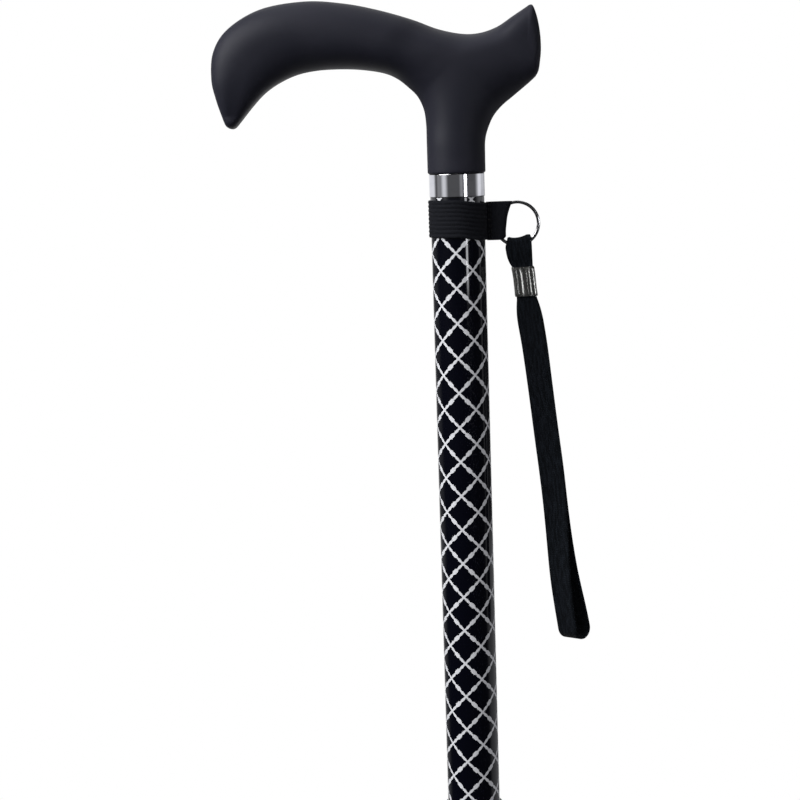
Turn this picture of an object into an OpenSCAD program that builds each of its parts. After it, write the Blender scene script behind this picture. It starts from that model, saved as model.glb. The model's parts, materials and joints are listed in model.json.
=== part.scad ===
// Folding walking cane: derby handle, printed three-section shaft, adjustable leg and wrist strap.
// Millimetres. The origin is the middle of the rubber tip's sole, +Z runs up the shaft and the hook
// points to -X.

/* [Shaft] */
// Outer diameter of the three printed tubes
tube_d = 22.2; // [20:0.1:25]
// Wall of the printed tubes
tube_wall = 1.2; // [0.9:0.1:1.6]
// From the collar's lower edge to the upper fold
upper_len = 275; // [260:1:300]
// From the upper fold to the lower fold
middle_len = 285; // [270:1:320]
// From the lower fold to the sole of the tip
lower_len = 232; // [220:1:240]

/* [Handle] */
// Reach of the hook behind the shaft
hook_reach = 101.2; // [85:0.1:115]
// Reach of the nose in front of the shaft
nose_reach = 36.4; // [30:0.1:42]
// Height of the handle above the collar
handle_h = 72.8; // [62:0.1:80]
// Widest part of the grip, front to back
grip_w = 26; // [22:0.5:27]
// How far the handle's stem stands proud of the collar, all round
stem_step = 0.4; // [0.2:0.1:1]
// Diameter of the core inside the handle
core_d = 16; // [14:0.5:18]
// Length of the core inside the handle
core_up = 36; // [25:1:40]
// Length of the core inside the upper tube
core_down = 30; // [26:1:45]
// Diameter of the cross pin that holds the handle
pin_d = 3; // [2:0.1:4]

/* [Collar] */
// Wall of the collar over the tube's end
collar_t = 0.65; // [0.4:0.05:1.2]
// Height of the collar
collar_h = 9.8; // [7:0.1:14]

/* [Fold joints] */
// How far the joint flanges stand proud of the tube
flange_step = 1.9; // [1.2:0.1:2.2]
// Height of each joint flange
flange_h = 8; // [6:0.5:10]
// Gap from a flange to the line it tips over
pivot_gap = 0.7; // [0.5:0.1:1]
// Wall of the socket at its mouth
socket_wall = 3.4; // [3:0.1:4.5]
// Length of the plug's nose
nose_len = 15.5; // [12:0.5:16]
// Length of the spigots inside the tubes
spigot_len = 20; // [18:1:24]
// Diameter of the shock cord
cord_d = 4; // [3:0.1:4.5]
// Thickness of the cord washers
washer_t = 1; // [0.6:0.1:1.5]

/* [Leg] */
// Radial gap between the leg tube and the lower tube
leg_gap = 0.4; // [0.3:0.05:0.6]
// Wall of the leg tube
leg_wall = 1.2; // [0.9:0.1:1.6]
// From the lower fold down to the snap button's centre
button_drop = 83; // [82:0.5:84]
// Length of leg tube above the button
leg_above = 14; // [10:1:16]
// Spacing of the height holes
hole_pitch = 20; // [19:0.5:20]
// Number of height holes
hole_count = 5; // [3:2:5]
// Diameter of the snap button
button_d = 5; // [4:0.1:5.4]
// How far the button stands proud of the lower tube
button_proud = 1.9; // [1.5:0.1:2.5]
// Thickness of the spring leaf
leaf_t = 0.6; // [0.4:0.1:0.8]
// Width of the spring leaf
leaf_w = 6; // [5:0.5:7]

/* [Height lock] */
// Length of the lower tube
lower_tube_len = 134; // [132:1:136]
// Height of the collet's sleeve over the tube
collet_h = 14; // [10:0.5:15]
// Length of the collet fingers below the tube
finger_len = 8; // [6:0.5:10]
// Width of the slits between the fingers
slit_w = 1.4; // [1:0.1:2]
// Wall of the collet's sleeve
collet_wall = 1.45; // [1.1:0.05:1.5]
// Wall of the lock nut
nut_wall = 1.25; // [1:0.05:1.4]
// Number of grip grooves round the nut
nut_grooves = 24; // [12:1:30]
// Radius of the grip grooves
groove_r = 0.8; // [0.5:0.05:1]

/* [Tip] */
// Height of the rubber tip
tip_h = 35; // [28:0.5:38]
// How far the sole flares out past the leg tube
tip_flare = 6; // [4:0.1:6.2]
// Thickness of rubber under the washer
sole_t = 8; // [6:0.5:10]
// Thickness of the steel washer in the tip
tip_washer_t = 1.5; // [1:0.1:2]
// Wall of the tip's upper sleeve
tip_wall = 2.2; // [1.6:0.1:3]
// Depth of the tread grooves
tread_depth = 1.2; // [0.8:0.1:2]

/* [Keeper band] */
// Height of the elastic band
band_h = 15.7; // [12:0.1:18]
// Thickness of the elastic band
band_t = 1.15; // [0.9:0.05:1.5]
// Number of ribs woven in the band
band_ribs = 9; // [6:1:12]
// Gap between the collar and the band
band_drop = 1.1; // [0.5:0.1:4]
// Thickness of one ply of the tab
tab_ply = 0.9; // [0.6:0.05:1.2]
// How far the tab's fold reaches past the band
tab_reach = 10.3; // [9.5:0.1:10.6]
// How far the hanging strap pulls the tab down on the band
tab_sag = 1.4; // [0:0.1:2]

/* [Ring] */
// Outer diameter of the split ring
ring_d = 19.6; // [18:0.1:22]
// Radial width of the ring's wire
ring_w = 1.4; // [1.1:0.1:1.8]
// Thickness of the ring's two turns
ring_t = 1.8; // [1.4:0.1:2.4]
// From the band's outside to the ring's centre
ring_out = 12.6; // [12:0.1:13]
// From the tab's top edge to the ring's centre
ring_drop = 9.6; // [9.2:0.1:10.5]

/* [Wrist strap] */
// Width of the strap
strap_w = 10.6; // [8:0.1:14]
// Thickness of the strap
strap_t = 1.3; // [1:0.1:1.8]
// From the ring's centre to the strap's lower bend
strap_drop = 183.5; // [140:0.5:220]
// Widest gap between the strap's two runs
strap_gap = 7.8; // [7:0.1:12]
// Outward lean of the hanging strap, in degrees
strap_lean = 6.7; // [0:0.1:12]
// Width of the crimp
crimp_w = 9.1; // [7:0.1:11]
// Height of the crimp
crimp_h = 12.6; // [8:0.1:16]
// Wall of the crimp
crimp_wall = 0.55; // [0.4:0.05:0.9]
// From the ring's centre to the crimp's upper edge
crimp_drop = 18.4; // [17:0.1:22]

/* [Hidden] */
$fn = 64;

// Clearances: glued or pressed pieces, running fits and pieces that pass each other
glue = 0.05;
run = 0.1;
clear = 0.3;
// Overrun of every cut
over = 1;

// Radii of the shaft
tube_r = tube_d / 2;
bore_r = tube_r - tube_wall;
collar_r = tube_r + glue + collar_t;
stem_r = collar_r + stem_step;
flange_r = tube_r + flange_step;
pivot_r = flange_r + pivot_gap;
nose_r = flange_r - socket_wall;
nose_clear = 0.25;
spigot_r = bore_r - glue;
cord_r = cord_d / 2;
cord_hole_r = cord_r + clear + run;
flange_bevel = 1;

// Heights of the shaft
fold_lower_z = lower_len;
fold_upper_z = fold_lower_z + middle_len;
collar_z = fold_upper_z + upper_len;
seat_z = collar_z + collar_h;
lower_tube_end = fold_lower_z - flange_h - lower_tube_len;
button_z = fold_lower_z - button_drop;
ogive_steps = 10;

// Handle core, cross pin and cord anchor
core_r = core_d / 2;
pin_r = pin_d / 2;
pin_z = collar_z + collar_h / 2;
web_t = 5;
web_z = seat_z - core_down + web_t;
knot_ring_r = cord_r + glue;
knot_r = knot_ring_r + cord_r;
knot_step_share = 0.85;
knot_step = cord_d * knot_step_share;
washer_r = knot_r + clear;
anchor_r = washer_r + run;

// Leg, snap clip and height lock
leg_r = bore_r - leg_gap;
leg_bore_r = leg_r - leg_wall;
leg_z = sole_t + tip_washer_t;
leg_top = button_z + leg_above;
button_r = button_d / 2;
leg_hole_r = button_r + clear / 2;
tube_hole_r = button_r + clear + run;
button_end = tube_r + button_proud;
button_dome = 0.9;
button_edge = button_dome / 3;
leaf_y = sqrt(pow(leg_bore_r, 2) - pow(leaf_w / 2, 2)) - run;
leaf_len = 34;
leaf_rise = 6;
leaf_bend = 2;
collet_r = tube_r + glue + collet_wall;
collet_lip = 2;
finger_r = leg_r + run;
finger_root_r = tube_r + glue;
finger_tip_share = 0.85;
finger_tip_r = finger_r + (finger_root_r - finger_r) * finger_tip_share;
nut_r = collet_r + run + nut_wall;
nut_lip = 2.2;
nut_cover = 12;
finger_count = 4;

// Rubber tip
tip_r = leg_r + tip_flare;
tip_bore_r = leg_r + glue;
tip_top_r = tip_bore_r + tip_wall;
tip_washer_r = leg_r - glue;
tip_bead = 0.8;
// Heights of the tip's outline as shares of its height, with how much of the flare is left there
tip_flare_shares = [[0.11, 1], [0.2, 0.93], [0.3, 0.72], [0.42, 0.46], [0.56, 0.24], [0.7, 0.1],
    [0.82, 0.02]];
// Inner and outer edge of each tread groove, as shares of the sole's radius
tread_shares = [[0.34, 0.44], [0.62, 0.72]];

// Keeper band, tab and ring
band_r = tube_r + run + band_t;
band_top = collar_z - band_drop;
rib_depth = 0.22;
ring_r = ring_d / 2;
ring_in_r = ring_r - ring_w;
ring_x = band_r + ring_out;
tab_top = band_top - tab_sag;
ring_z = tab_top - ring_drop;
ring_groove = 0.18;
pocket_t = ring_t + 2 * clear;
tab_t = pocket_t + 2 * tab_ply;
// Right edge of the tab, from its lower corner up: shares of its reach and of the band's height
tab_edge_shares = [[0.73, 0], [0.717, 0.18], [0.753, 0.39], [0.797, 0.6], [0.887, 0.81], [1, 1]];

// Wrist strap, measured down from the ring's centre
eye_rise = 3.2;
eye_top = (ring_r + ring_in_r) / 2 - eye_rise;
eye_t = pocket_t + 2 * tab_ply;
eye_side_share = 0.62;
eye_corner = 1.6;
crimp_t = 4.4;
crimp_round = 1.6;
neck_w = crimp_w - 2 * crimp_wall - 2 * glue;
neck_t = crimp_t - 2 * crimp_wall - 2 * glue;
loop_top = crimp_drop + crimp_h;
loop_widen = 14;
loop_bend_r = strap_gap / 2;
loop_out_r = loop_bend_r + strap_t;
loop_bend_z = strap_drop - loop_out_r;
loop_neck_gap = neck_t / 2 - strap_t;
loop_open_share = 0.72;
loop_steps = 14;

// Handle form. Each row of the hook and of the nose gives the spine's x and z, the half width, and the
// x and z of the upper and the lower edge. x is a share of the reach, z of the height, and the width of
// half the grip.
hook_shares = [
    [0.918, 0.367, 0.58, 0.962, 0.360, 0.878, 0.349],
    [0.903, 0.463, 0.75, 0.984, 0.460, 0.830, 0.426],
    [0.885, 0.574, 0.88, 1.000, 0.577, 0.781, 0.492],
    [0.850, 0.673, 0.95, 0.988, 0.732, 0.719, 0.547],
    [0.787, 0.757, 0.98, 0.924, 0.860, 0.645, 0.589],
    [0.690, 0.802, 1.00, 0.787, 0.964, 0.564, 0.609],
    [0.563, 0.808, 1.00, 0.604, 1.000, 0.474, 0.613],
    [0.433, 0.787, 1.00, 0.443, 0.981, 0.384, 0.606],
    [0.303, 0.750, 0.99, 0.302, 0.938, 0.293, 0.584],
    [0.155, 0.703, 0.97, 0.163, 0.878, 0.206, 0.522]];
nose_shares = [
    [0.272, 0.668, 0.92, 0.310, 0.793, 0.659, 0.424],
    [0.489, 0.691, 0.86, 0.508, 0.824, 0.769, 0.467],
    [0.681, 0.709, 0.80, 0.687, 0.880, 0.865, 0.505],
    [0.841, 0.723, 0.74, 0.868, 0.938, 0.934, 0.536]];
// Edge points round the two ends, from the upper edge to the lower one
hook_end_shares = [[0.950, 0.316], [0.935, 0.298], [0.920, 0.294], [0.908, 0.302], [0.894, 0.323]];
nose_end_shares = [[0.945, 0.901], [0.973, 0.848], [0.995, 0.771], [1, 0.687], [0.986, 0.618],
    [0.967, 0.567]];
// Where the stem meets the grip, and down the stem: x and width are shares of the stem's radius
meet_shares = [0.083, 0.647, 1.017, 0.311, 0.791];
stem_spine_shares = [[0.041, 0.495, 1.008], [0.017, 0.357, 1], [0, 0.234, 1], [0, 0.117, 1], [0, 0, 1]];
stem_back_shares = [[1.262, 0.444], [1.066, 0.370], [1.003, 0.288], [1, 0.199], [1, 0.103], [1, 0]];
stem_front_shares = [[1.607, 0.376], [1.320, 0.320], [1.131, 0.254], [1.020, 0.185], [1.003, 0.103], [1, 0]];
// How full the grip's section is: 1 is an ellipse and less is squarer
section_share = 0.93;
grip_steps = 3;
grip_levels = 6;

// Smooth curve through rows of numbers, with a set count of steps between rows
function blend_row(a, b, c, d, t) = 0.5 * (2 * b + (c - a) * t + (2 * a - 5 * b + 4 * c - d) * t * t
    + (3 * b - a - 3 * c + d) * t * t * t);
function smooth_rows(p, steps) = concat(
    [for (i = [0 : len(p) - 2], k = [0 : steps - 1])
        blend_row(p[max(i - 1, 0)], p[i], p[i + 1], p[min(i + 2, len(p) - 1)], k / steps)],
    [p[len(p) - 1]]);

// Rows in millimetres: spine x, spine z, half width, upper x, upper z, lower x, lower z
function grip_row(s, reach) = [s[0] * reach, s[1] * handle_h, s[2] * grip_w / 2, s[3] * reach,
    s[4] * handle_h, s[5] * reach, s[6] * handle_h];
function meet_row(edge, side) = [meet_shares[0] * stem_r, meet_shares[1] * handle_h,
    meet_shares[2] * stem_r, meet_shares[3] * stem_r, meet_shares[4] * handle_h,
    side * edge[0] * stem_r, edge[1] * handle_h];
hook_rows = smooth_rows(concat([for (s = hook_shares) grip_row(s, -hook_reach)],
    [meet_row(stem_back_shares[0], -1)]), grip_steps);
nose_rows = smooth_rows(concat([meet_row(stem_front_shares[0], 1)],
    [for (s = nose_shares) grip_row(s, nose_reach)]), grip_steps);
stem_spine = concat([[meet_shares[0], meet_shares[1], meet_shares[2]]], stem_spine_shares);
stem_rows = smooth_rows([for (i = [0 : len(stem_spine) - 1])
    [stem_spine[i][0] * stem_r, stem_spine[i][1] * handle_h, stem_spine[i][2] * stem_r,
        -stem_back_shares[i][0] * stem_r, stem_back_shares[i][1] * handle_h,
        stem_front_shares[i][0] * stem_r, stem_front_shares[i][1] * handle_h]], grip_steps);

hooks = len(hook_rows);
noses = len(nose_rows);
stems = len(stem_rows);
arms = hooks + noses - 1;
// The spine: first along the grip from hook to nose, then down the stem
spine = concat([for (r = hook_rows) [r[0], r[1], r[2]]], [for (i = [1 : noses - 1])
    [nose_rows[i][0], nose_rows[i][1], nose_rows[i][2]]], [for (i = [1 : stems - 1])
    [stem_rows[i][0], stem_rows[i][1], stem_rows[i][2]]]);
// Curved ends of the grip between the upper and the lower edge
function end_edge(shares, reach, row) = smooth_rows(concat([[row[3], row[4]]],
    [for (s = shares) [s[0] * reach, s[1] * handle_h]], [[row[5], row[6]]]), 2);
nose_end = end_edge(nose_end_shares, nose_reach, nose_rows[noses - 1]);
hook_end = end_edge(hook_end_shares, -hook_reach, hook_rows[0]);
// Ribs once round the side outline, each with its edge point and its place on the spine
ribs = concat(
    [for (i = [stems - 1 : -1 : 1]) [stem_rows[i][5], stem_rows[i][6], arms + i - 1]],
    [for (i = [0 : noses - 1]) [nose_rows[i][5], nose_rows[i][6], hooks - 1 + i]],
    [for (i = [len(nose_end) - 2 : -1 : 1]) [nose_end[i][0], nose_end[i][1], arms - 1]],
    [for (i = [noses - 1 : -1 : 1]) [nose_rows[i][3], nose_rows[i][4], hooks - 1 + i]],
    [for (i = [hooks - 1 : -1 : 0]) [hook_rows[i][3], hook_rows[i][4], i]],
    [for (i = [1 : len(hook_end) - 2]) [hook_end[i][0], hook_end[i][1], 0]],
    [for (i = [0 : hooks - 1]) [hook_rows[i][5], hook_rows[i][6], i]],
    [for (i = [1 : stems - 1]) [stem_rows[i][3], stem_rows[i][4], arms + i - 1]]);
rib_count = len(ribs);

// A point of a rib: level 0 is on the edge and the last level is on the spine
function rib_point(rib, level, side) = let (foot = spine[rib[2]], t = 90 * level / grip_levels,
    inward = 1 - pow(cos(t), section_share), out = pow(sin(t), section_share))
    [rib[0] + (foot[0] - rib[0]) * inward, side * foot[2] * out, rib[1] + (foot[1] - rib[1]) * inward];
rib_inner = grip_levels - 1;
grip_points = concat(
    [for (r = ribs) rib_point(r, 0, 0)],
    [for (side = [-1, 1], r = ribs, level = [1 : rib_inner]) rib_point(r, level, side)],
    [for (side = [-1, 1], s = spine) [s[0], side * s[2], s[1]]]);
function rib_index(rib, level, side) = level == 0 ? rib
    : level < grip_levels ? rib_count + (side * rib_count + rib) * rib_inner + level - 1
    : rib_count * (1 + 2 * rib_inner) + side * len(spine) + ribs[rib][2];
function turned(face, side) = side == 0 ? face : [face[2], face[1], face[0]];
stem_cap = concat([for (l = [0 : grip_levels]) rib_index(rib_count - 1, l, 0)],
    [for (l = [grip_levels - 1 : -1 : 0]) rib_index(0, l, 0)],
    [for (l = [1 : grip_levels]) rib_index(0, l, 1)],
    [for (l = [grip_levels - 1 : -1 : 1]) rib_index(rib_count - 1, l, 1)]);
grip_faces = concat([stem_cap],
    [for (side = [0, 1], r = [0 : rib_count - 2], l = [0 : grip_levels - 1])
        turned([rib_index(r, l, side), rib_index(r, l + 1, side), rib_index(r + 1, l, side)], side)],
    [for (side = [0, 1], r = [0 : rib_count - 2], l = [0 : grip_levels - 1])
        if (l < grip_levels - 1 || ribs[r][2] != ribs[r + 1][2])
            turned([rib_index(r + 1, l, side), rib_index(r, l + 1, side), rib_index(r + 1, l + 1, side)],
                side)]);

// Shared shapes
module at_z(z) {
    translate([0, 0, z]) children();
}

module bored_tube(low, high, r_out, r_in) {
    at_z(low) difference() {
        cylinder(r = r_out, h = high - low);
        at_z(-over) cylinder(r = r_in, h = high - low + 2 * over);
    }
}

module cross_hole(z, r) {
    translate([-tube_r - over, 0, z]) rotate([0, 90, 0]) cylinder(r = r, h = tube_d + 2 * over);
}

module back_hole(z, r) {
    at_z(z) rotate([90, 0, 0]) cylinder(r = r, h = tube_r + over);
}

module washer(z, r, t) {
    bored_tube(z, z + t, r, cord_hole_r);
}

module stop_knot(z) {
    for (i = [0, 1])
        at_z(z + cord_r + i * knot_step) rotate_extrude() translate([knot_ring_r, 0]) circle(r = cord_r);
}

module cord_run(low, high) {
    at_z(low) cylinder(r = cord_r, h = high - low);
}

// Side of the bullet nose, which stays clear of its socket as it tips about the pivot line
function ogive(r, length) = [for (i = [0 : ogive_steps]) let (d = length * i / ogive_steps)
    [sqrt(pow(pivot_r + r, 2) - d * d) - pivot_r, d]];

module flange() {
    rotate_extrude() polygon([[0, 0], [flange_r, 0], [flange_r, flange_h - flange_bevel],
        [flange_r - flange_bevel, flange_h], [0, flange_h]]);
}

module fold_socket(z) {
    depth = nose_len + clear;
    at_z(z) difference() {
        union() {
            flange();
            at_z(flange_h) cylinder(r = spigot_r, h = spigot_len);
        }
        rotate_extrude() polygon(concat([[0, -over], [nose_r + nose_clear, -over]],
            ogive(nose_r + nose_clear, depth), [[0, depth]]));
        cylinder(r = cord_hole_r, h = flange_h + spigot_len + over);
    }
}

module fold_plug(z) {
    at_z(z) difference() {
        union() {
            mirror([0, 0, 1]) flange();
            at_z(-flange_h - spigot_len) cylinder(r = spigot_r, h = spigot_len);
            rotate_extrude() polygon(concat([[0, 0]], ogive(nose_r, nose_len), [[0, nose_len]]));
        }
        at_z(-flange_h - spigot_len - over)
            cylinder(r = cord_hole_r, h = flange_h + spigot_len + nose_len + 2 * over);
    }
}

// Upper section
module handle_grip() {
    color([0.16, 0.16, 0.19]) at_z(seat_z) difference() {
        polyhedron(points = grip_points, faces = grip_faces, convexity = 8);
        at_z(-over) cylinder(r = core_r + glue, h = core_up + glue + over);
    }
}

module handle_core() {
    color("dimgray") difference() {
        union() {
            at_z(seat_z - core_down) cylinder(r = spigot_r, h = core_down);
            at_z(seat_z) cylinder(r = core_r, h = core_up);
        }
        at_z(web_z) cylinder(r = anchor_r, h = core_down + core_up);
        at_z(seat_z - core_down - over) cylinder(r = cord_hole_r, h = core_down);
        cross_hole(pin_z, pin_r + glue);
    }
}

module handle_pin() {
    color("silver") translate([-tube_r, 0, pin_z]) rotate([0, 90, 0]) cylinder(r = pin_r, h = tube_d);
}

module collar_ring() {
    color("gainsboro") bored_tube(collar_z, seat_z, collar_r, tube_r + glue);
}

module upper_tube() {
    color([0.04, 0.04, 0.06]) difference() {
        bored_tube(fold_upper_z + flange_h, seat_z, tube_r, bore_r);
        cross_hole(pin_z, pin_r + glue);
    }
}

module anchor_washer() {
    color("silver") washer(web_z, washer_r, washer_t);
}

module cord_upper() {
    knot_z = web_z + washer_t;
    color("black") union() {
        cord_run(fold_upper_z + nose_len + run, knot_z + cord_d + knot_step);
        stop_knot(knot_z);
    }
}

module upper_socket() {
    color([0.05, 0.05, 0.05]) fold_socket(fold_upper_z);
}

// Middle section
module middle_plug() {
    color([0.05, 0.05, 0.05]) fold_plug(fold_upper_z);
}

module middle_tube() {
    color([0.04, 0.04, 0.06]) bored_tube(fold_lower_z + flange_h, fold_upper_z - flange_h, tube_r, bore_r);
}

module cord_middle() {
    color("black") cord_run(fold_lower_z + nose_len + run, fold_upper_z + nose_len);
}

module middle_socket() {
    color([0.05, 0.05, 0.05]) fold_socket(fold_lower_z);
}

// Lower section
module lower_plug() {
    color([0.05, 0.05, 0.05]) fold_plug(fold_lower_z);
}

module lower_tube() {
    color([0.04, 0.04, 0.06]) difference() {
        bored_tube(lower_tube_end, fold_lower_z - flange_h, tube_r, bore_r);
        for (i = [0 : hole_count - 1])
            back_hole(button_z + (i - (hole_count - 1) / 2) * hole_pitch, tube_hole_r);
    }
}

stop_z = fold_lower_z - flange_h - spigot_len - washer_t;

module cord_lower() {
    knot_z = stop_z - cord_d - knot_step;
    color("black") union() {
        cord_run(knot_z, fold_lower_z + nose_len);
        stop_knot(knot_z);
    }
}

module stop_washer() {
    color("silver") washer(stop_z, washer_r, washer_t);
}

module lock_collet() {
    low = lower_tube_end - finger_len;
    color([0.08, 0.08, 0.08]) difference() {
        rotate_extrude() polygon([[finger_r, low], [finger_tip_r, low],
            [finger_root_r, lower_tube_end - collet_lip], [collet_r, lower_tube_end - collet_lip],
            [collet_r, lower_tube_end + collet_h], [finger_root_r, lower_tube_end + collet_h],
            [finger_root_r, lower_tube_end], [finger_r, lower_tube_end]]);
        for (i = [0 : finger_count - 1])
            rotate([0, 0, 360 * i / finger_count]) translate([0, -slit_w / 2, low - over])
                cube([collet_r + over, slit_w, finger_len - collet_lip - clear + over]);
    }
}

module lock_nut() {
    low = lower_tube_end - finger_len - clear;
    high = lower_tube_end + nut_cover;
    shoulder = lower_tube_end - collet_lip - clear;
    color([0.07, 0.07, 0.08]) difference() {
        rotate_extrude() polygon([[leg_r + clear, low - nut_lip], [nut_r - nut_wall / 2, low - nut_lip],
            [nut_r, low - nut_lip / 2], [nut_r, high - nut_wall / 2], [nut_r - nut_wall / 2, high],
            [collet_r + run, high], [collet_r + run, shoulder], [finger_root_r + clear, shoulder],
            [finger_tip_r + clear, low], [leg_r + clear, low]]);
        for (i = [0 : nut_grooves - 1])
            rotate([0, 0, 360 * i / nut_grooves]) translate([nut_r + groove_r / 2, 0, low - nut_lip - over])
                cylinder(r = groove_r, h = high - low + nut_lip + 2 * over, $fn = 24);
    }
}

// Leg
module leg_tube() {
    color([0.06, 0.06, 0.07]) difference() {
        bored_tube(leg_z, leg_top, leg_r, leg_bore_r);
        back_hole(button_z, leg_hole_r);
    }
}

// The leaf as a narrow V seen from the side, open at the top, with the button on its front run
module snap_clip() {
    low = button_z - leaf_len;
    high = button_z + leaf_rise;
    color("silver") union() {
        translate([-leaf_w / 2, 0, 0]) rotate([90, 0, 90]) linear_extrude(leaf_w)
            polygon([[-leaf_y, high], [-leaf_y, button_z - leaf_rise], [-leaf_bend, low], [leaf_bend, low],
                [leaf_y, button_z - leaf_rise], [leaf_y, high], [leaf_y - leaf_t, high],
                [leaf_y - leaf_t, button_z - leaf_rise], [leaf_bend - leaf_t, low + leaf_t],
                [leaf_t - leaf_bend, low + leaf_t], [leaf_t - leaf_y, button_z - leaf_rise],
                [leaf_t - leaf_y, high]]);
        at_z(button_z) rotate([90, 0, 0]) rotate_extrude() polygon([[0, leaf_y - leaf_t / 2],
            [button_r, leaf_y - leaf_t / 2], [button_r, button_end - button_dome],
            [button_r - button_edge, button_end - button_edge], [button_r - button_dome, button_end],
            [0, button_end]]);
    }
}

module rubber_tip() {
    side = [for (s = tip_flare_shares) [tip_top_r + (tip_r - tip_top_r) * s[1], s[0] * tip_h]];
    color([0.08, 0.08, 0.08]) difference() {
        rotate_extrude() polygon(concat([[0, 0], [tip_r - tip_bead, 0], [tip_r, tip_bead]], side,
            [[tip_top_r, tip_h - 3 * tip_bead], [tip_top_r + tip_bead, tip_h - 2 * tip_bead],
                [tip_top_r + tip_bead, tip_h - tip_bead], [tip_top_r, tip_h], [0, tip_h]]));
        at_z(sole_t) cylinder(r = tip_bore_r, h = tip_h);
        for (s = tread_shares)
            at_z(-over) bored_tube(0, over + tread_depth, tip_r * s[1], tip_r * s[0]);
    }
}

module tip_washer() {
    color("silver") at_z(sole_t) cylinder(r = tip_washer_r, h = tip_washer_t);
}

// Keeper: the elastic band, its tab and the ring
module keeper_band() {
    rib_h = band_h / band_ribs;
    low = band_top - band_h;
    ribs_edge = [for (i = [0 : band_ribs - 1], k = [0 : 2])
        [band_r - (k == 1 ? 0 : rib_depth), low + rib_h * (i + k / 2)]];
    color([0.06, 0.06, 0.07]) rotate_extrude() polygon(concat([[tube_r + run, low]], ribs_edge,
        [[tube_r + run, band_top]]));
}

// Flat room round the ring's wire inside a folded ply
module ring_pocket() {
    rotate([90, 0, 0]) difference() {
        cylinder(r = ring_r + clear, h = pocket_t, center = true);
        cylinder(r = ring_in_r - clear, h = pocket_t + over, center = true);
    }
}

module keeper_tab() {
    low = tab_top - band_h;
    color([0.05, 0.05, 0.06]) difference() {
        translate([0, tab_t / 2, 0]) rotate([90, 0, 0]) linear_extrude(tab_t)
            polygon(concat([[tube_r, tab_top], [tube_r, low]],
                [for (s = tab_edge_shares) [band_r + tab_reach * s[0], low + band_h * s[1]]]));
        at_z(low - over) cylinder(r = band_r + glue, h = band_h + 2 * over);
        translate([ring_x, 0, ring_z]) ring_pocket();
    }
}

module split_ring() {
    half_w = ring_w / 2;
    half_t = ring_t / 2;
    color("gainsboro") translate([ring_x, 0, ring_z]) rotate([90, 0, 0]) rotate_extrude()
        translate([ring_r - half_w, 0]) polygon([[half_w, ring_groove], [half_w, half_t - ring_groove],
            [half_w - ring_groove, half_t], [ring_groove - half_w, half_t], [-half_w, half_t - ring_groove],
            [-half_w, ring_groove], [ring_groove - half_w, 0], [-half_w, -ring_groove],
            [-half_w, ring_groove - half_t], [ring_groove - half_w, -half_t],
            [half_w - ring_groove, -half_t], [half_w, ring_groove - half_t], [half_w, -ring_groove],
            [half_w - ring_groove, 0]]);
}

// Wrist strap, drawn hanging straight down from the ring's centre and then leaned out
module at_ring() {
    translate([ring_x, 0, ring_z]) rotate([0, -strap_lean, 0]) children();
}

module strap_block(low, high, width, thick) {
    translate([-width / 2, -thick / 2, -high]) cube([width, thick, high - low]);
}

// Half the gap between the two runs at a share of the way down
function run_gap(share) = let (s = min(1, share / loop_open_share))
    loop_neck_gap + (loop_bend_r - loop_neck_gap) * s * s * (3 - 2 * s);
loop_len = loop_bend_z - loop_top;
run_side = [for (i = [0 : loop_steps]) [run_gap(i / loop_steps), -loop_top - loop_len * i / loop_steps]];
bend_turn = [for (i = [1 : loop_steps - 1]) -180 * i / loop_steps];

// One closed outline: the outer faces down and up again, then the inner faces the other way
function loop_outline() = concat(
    [for (p = run_side) [p[0] + strap_t, p[1]]],
    [for (a = bend_turn) [loop_out_r * cos(a), -loop_bend_z + loop_out_r * sin(a)]],
    [for (i = [loop_steps : -1 : 0]) [-run_side[i][0] - strap_t, run_side[i][1]]],
    [for (p = run_side) [-p[0], p[1]]],
    [for (i = [len(bend_turn) - 1 : -1 : 0])
        [loop_bend_r * cos(bend_turn[i]), -loop_bend_z + loop_bend_r * sin(bend_turn[i])]],
    [for (i = [loop_steps : -1 : 0]) run_side[i]]);

module wrist_strap() {
    shoulder = eye_top + (crimp_drop - eye_top) * eye_side_share;
    depth = 2 * loop_out_r + over;
    color([0.05, 0.05, 0.06]) at_ring() union() {
        difference() {
            translate([0, eye_t / 2, 0]) rotate([90, 0, 0]) linear_extrude(eye_t)
                polygon([[eye_corner - strap_w / 2, -eye_top], [strap_w / 2 - eye_corner, -eye_top],
                    [strap_w / 2, -eye_top - eye_corner], [strap_w / 2, -shoulder],
                    [neck_w / 2, -crimp_drop + glue], [-neck_w / 2, -crimp_drop + glue],
                    [-strap_w / 2, -shoulder], [-strap_w / 2, -eye_top - eye_corner]]);
            ring_pocket();
        }
        strap_block(crimp_drop - glue, loop_top, neck_w, neck_t);
        intersection() {
            translate([-strap_w / 2, 0, 0]) rotate([90, 0, 90]) linear_extrude(strap_w)
                polygon(loop_outline());
            translate([0, depth / 2, 0]) rotate([90, 0, 0]) linear_extrude(depth)
                polygon([[-neck_w / 2, -loop_top], [neck_w / 2, -loop_top],
                    [strap_w / 2, -loop_top - loop_widen], [strap_w / 2, -strap_drop],
                    [-strap_w / 2, -strap_drop], [-strap_w / 2, -loop_top - loop_widen]]);
        }
    }
}

module round_slab(width, thick, r, low, high) {
    at_z(-high) linear_extrude(high - low) union() {
        square([width - 2 * r, thick], center = true);
        square([width, thick - 2 * r], center = true);
        for (x = [-1, 1], y = [-1, 1])
            translate([x * (width / 2 - r), y * (thick / 2 - r)]) circle(r = r);
    }
}

module strap_crimp() {
    color("gainsboro") at_ring() difference() {
        round_slab(crimp_w, crimp_t, crimp_round, crimp_drop, loop_top);
        strap_block(crimp_drop - over, loop_top + over, neck_w + 2 * glue, neck_t + 2 * glue);
    }
}

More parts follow.
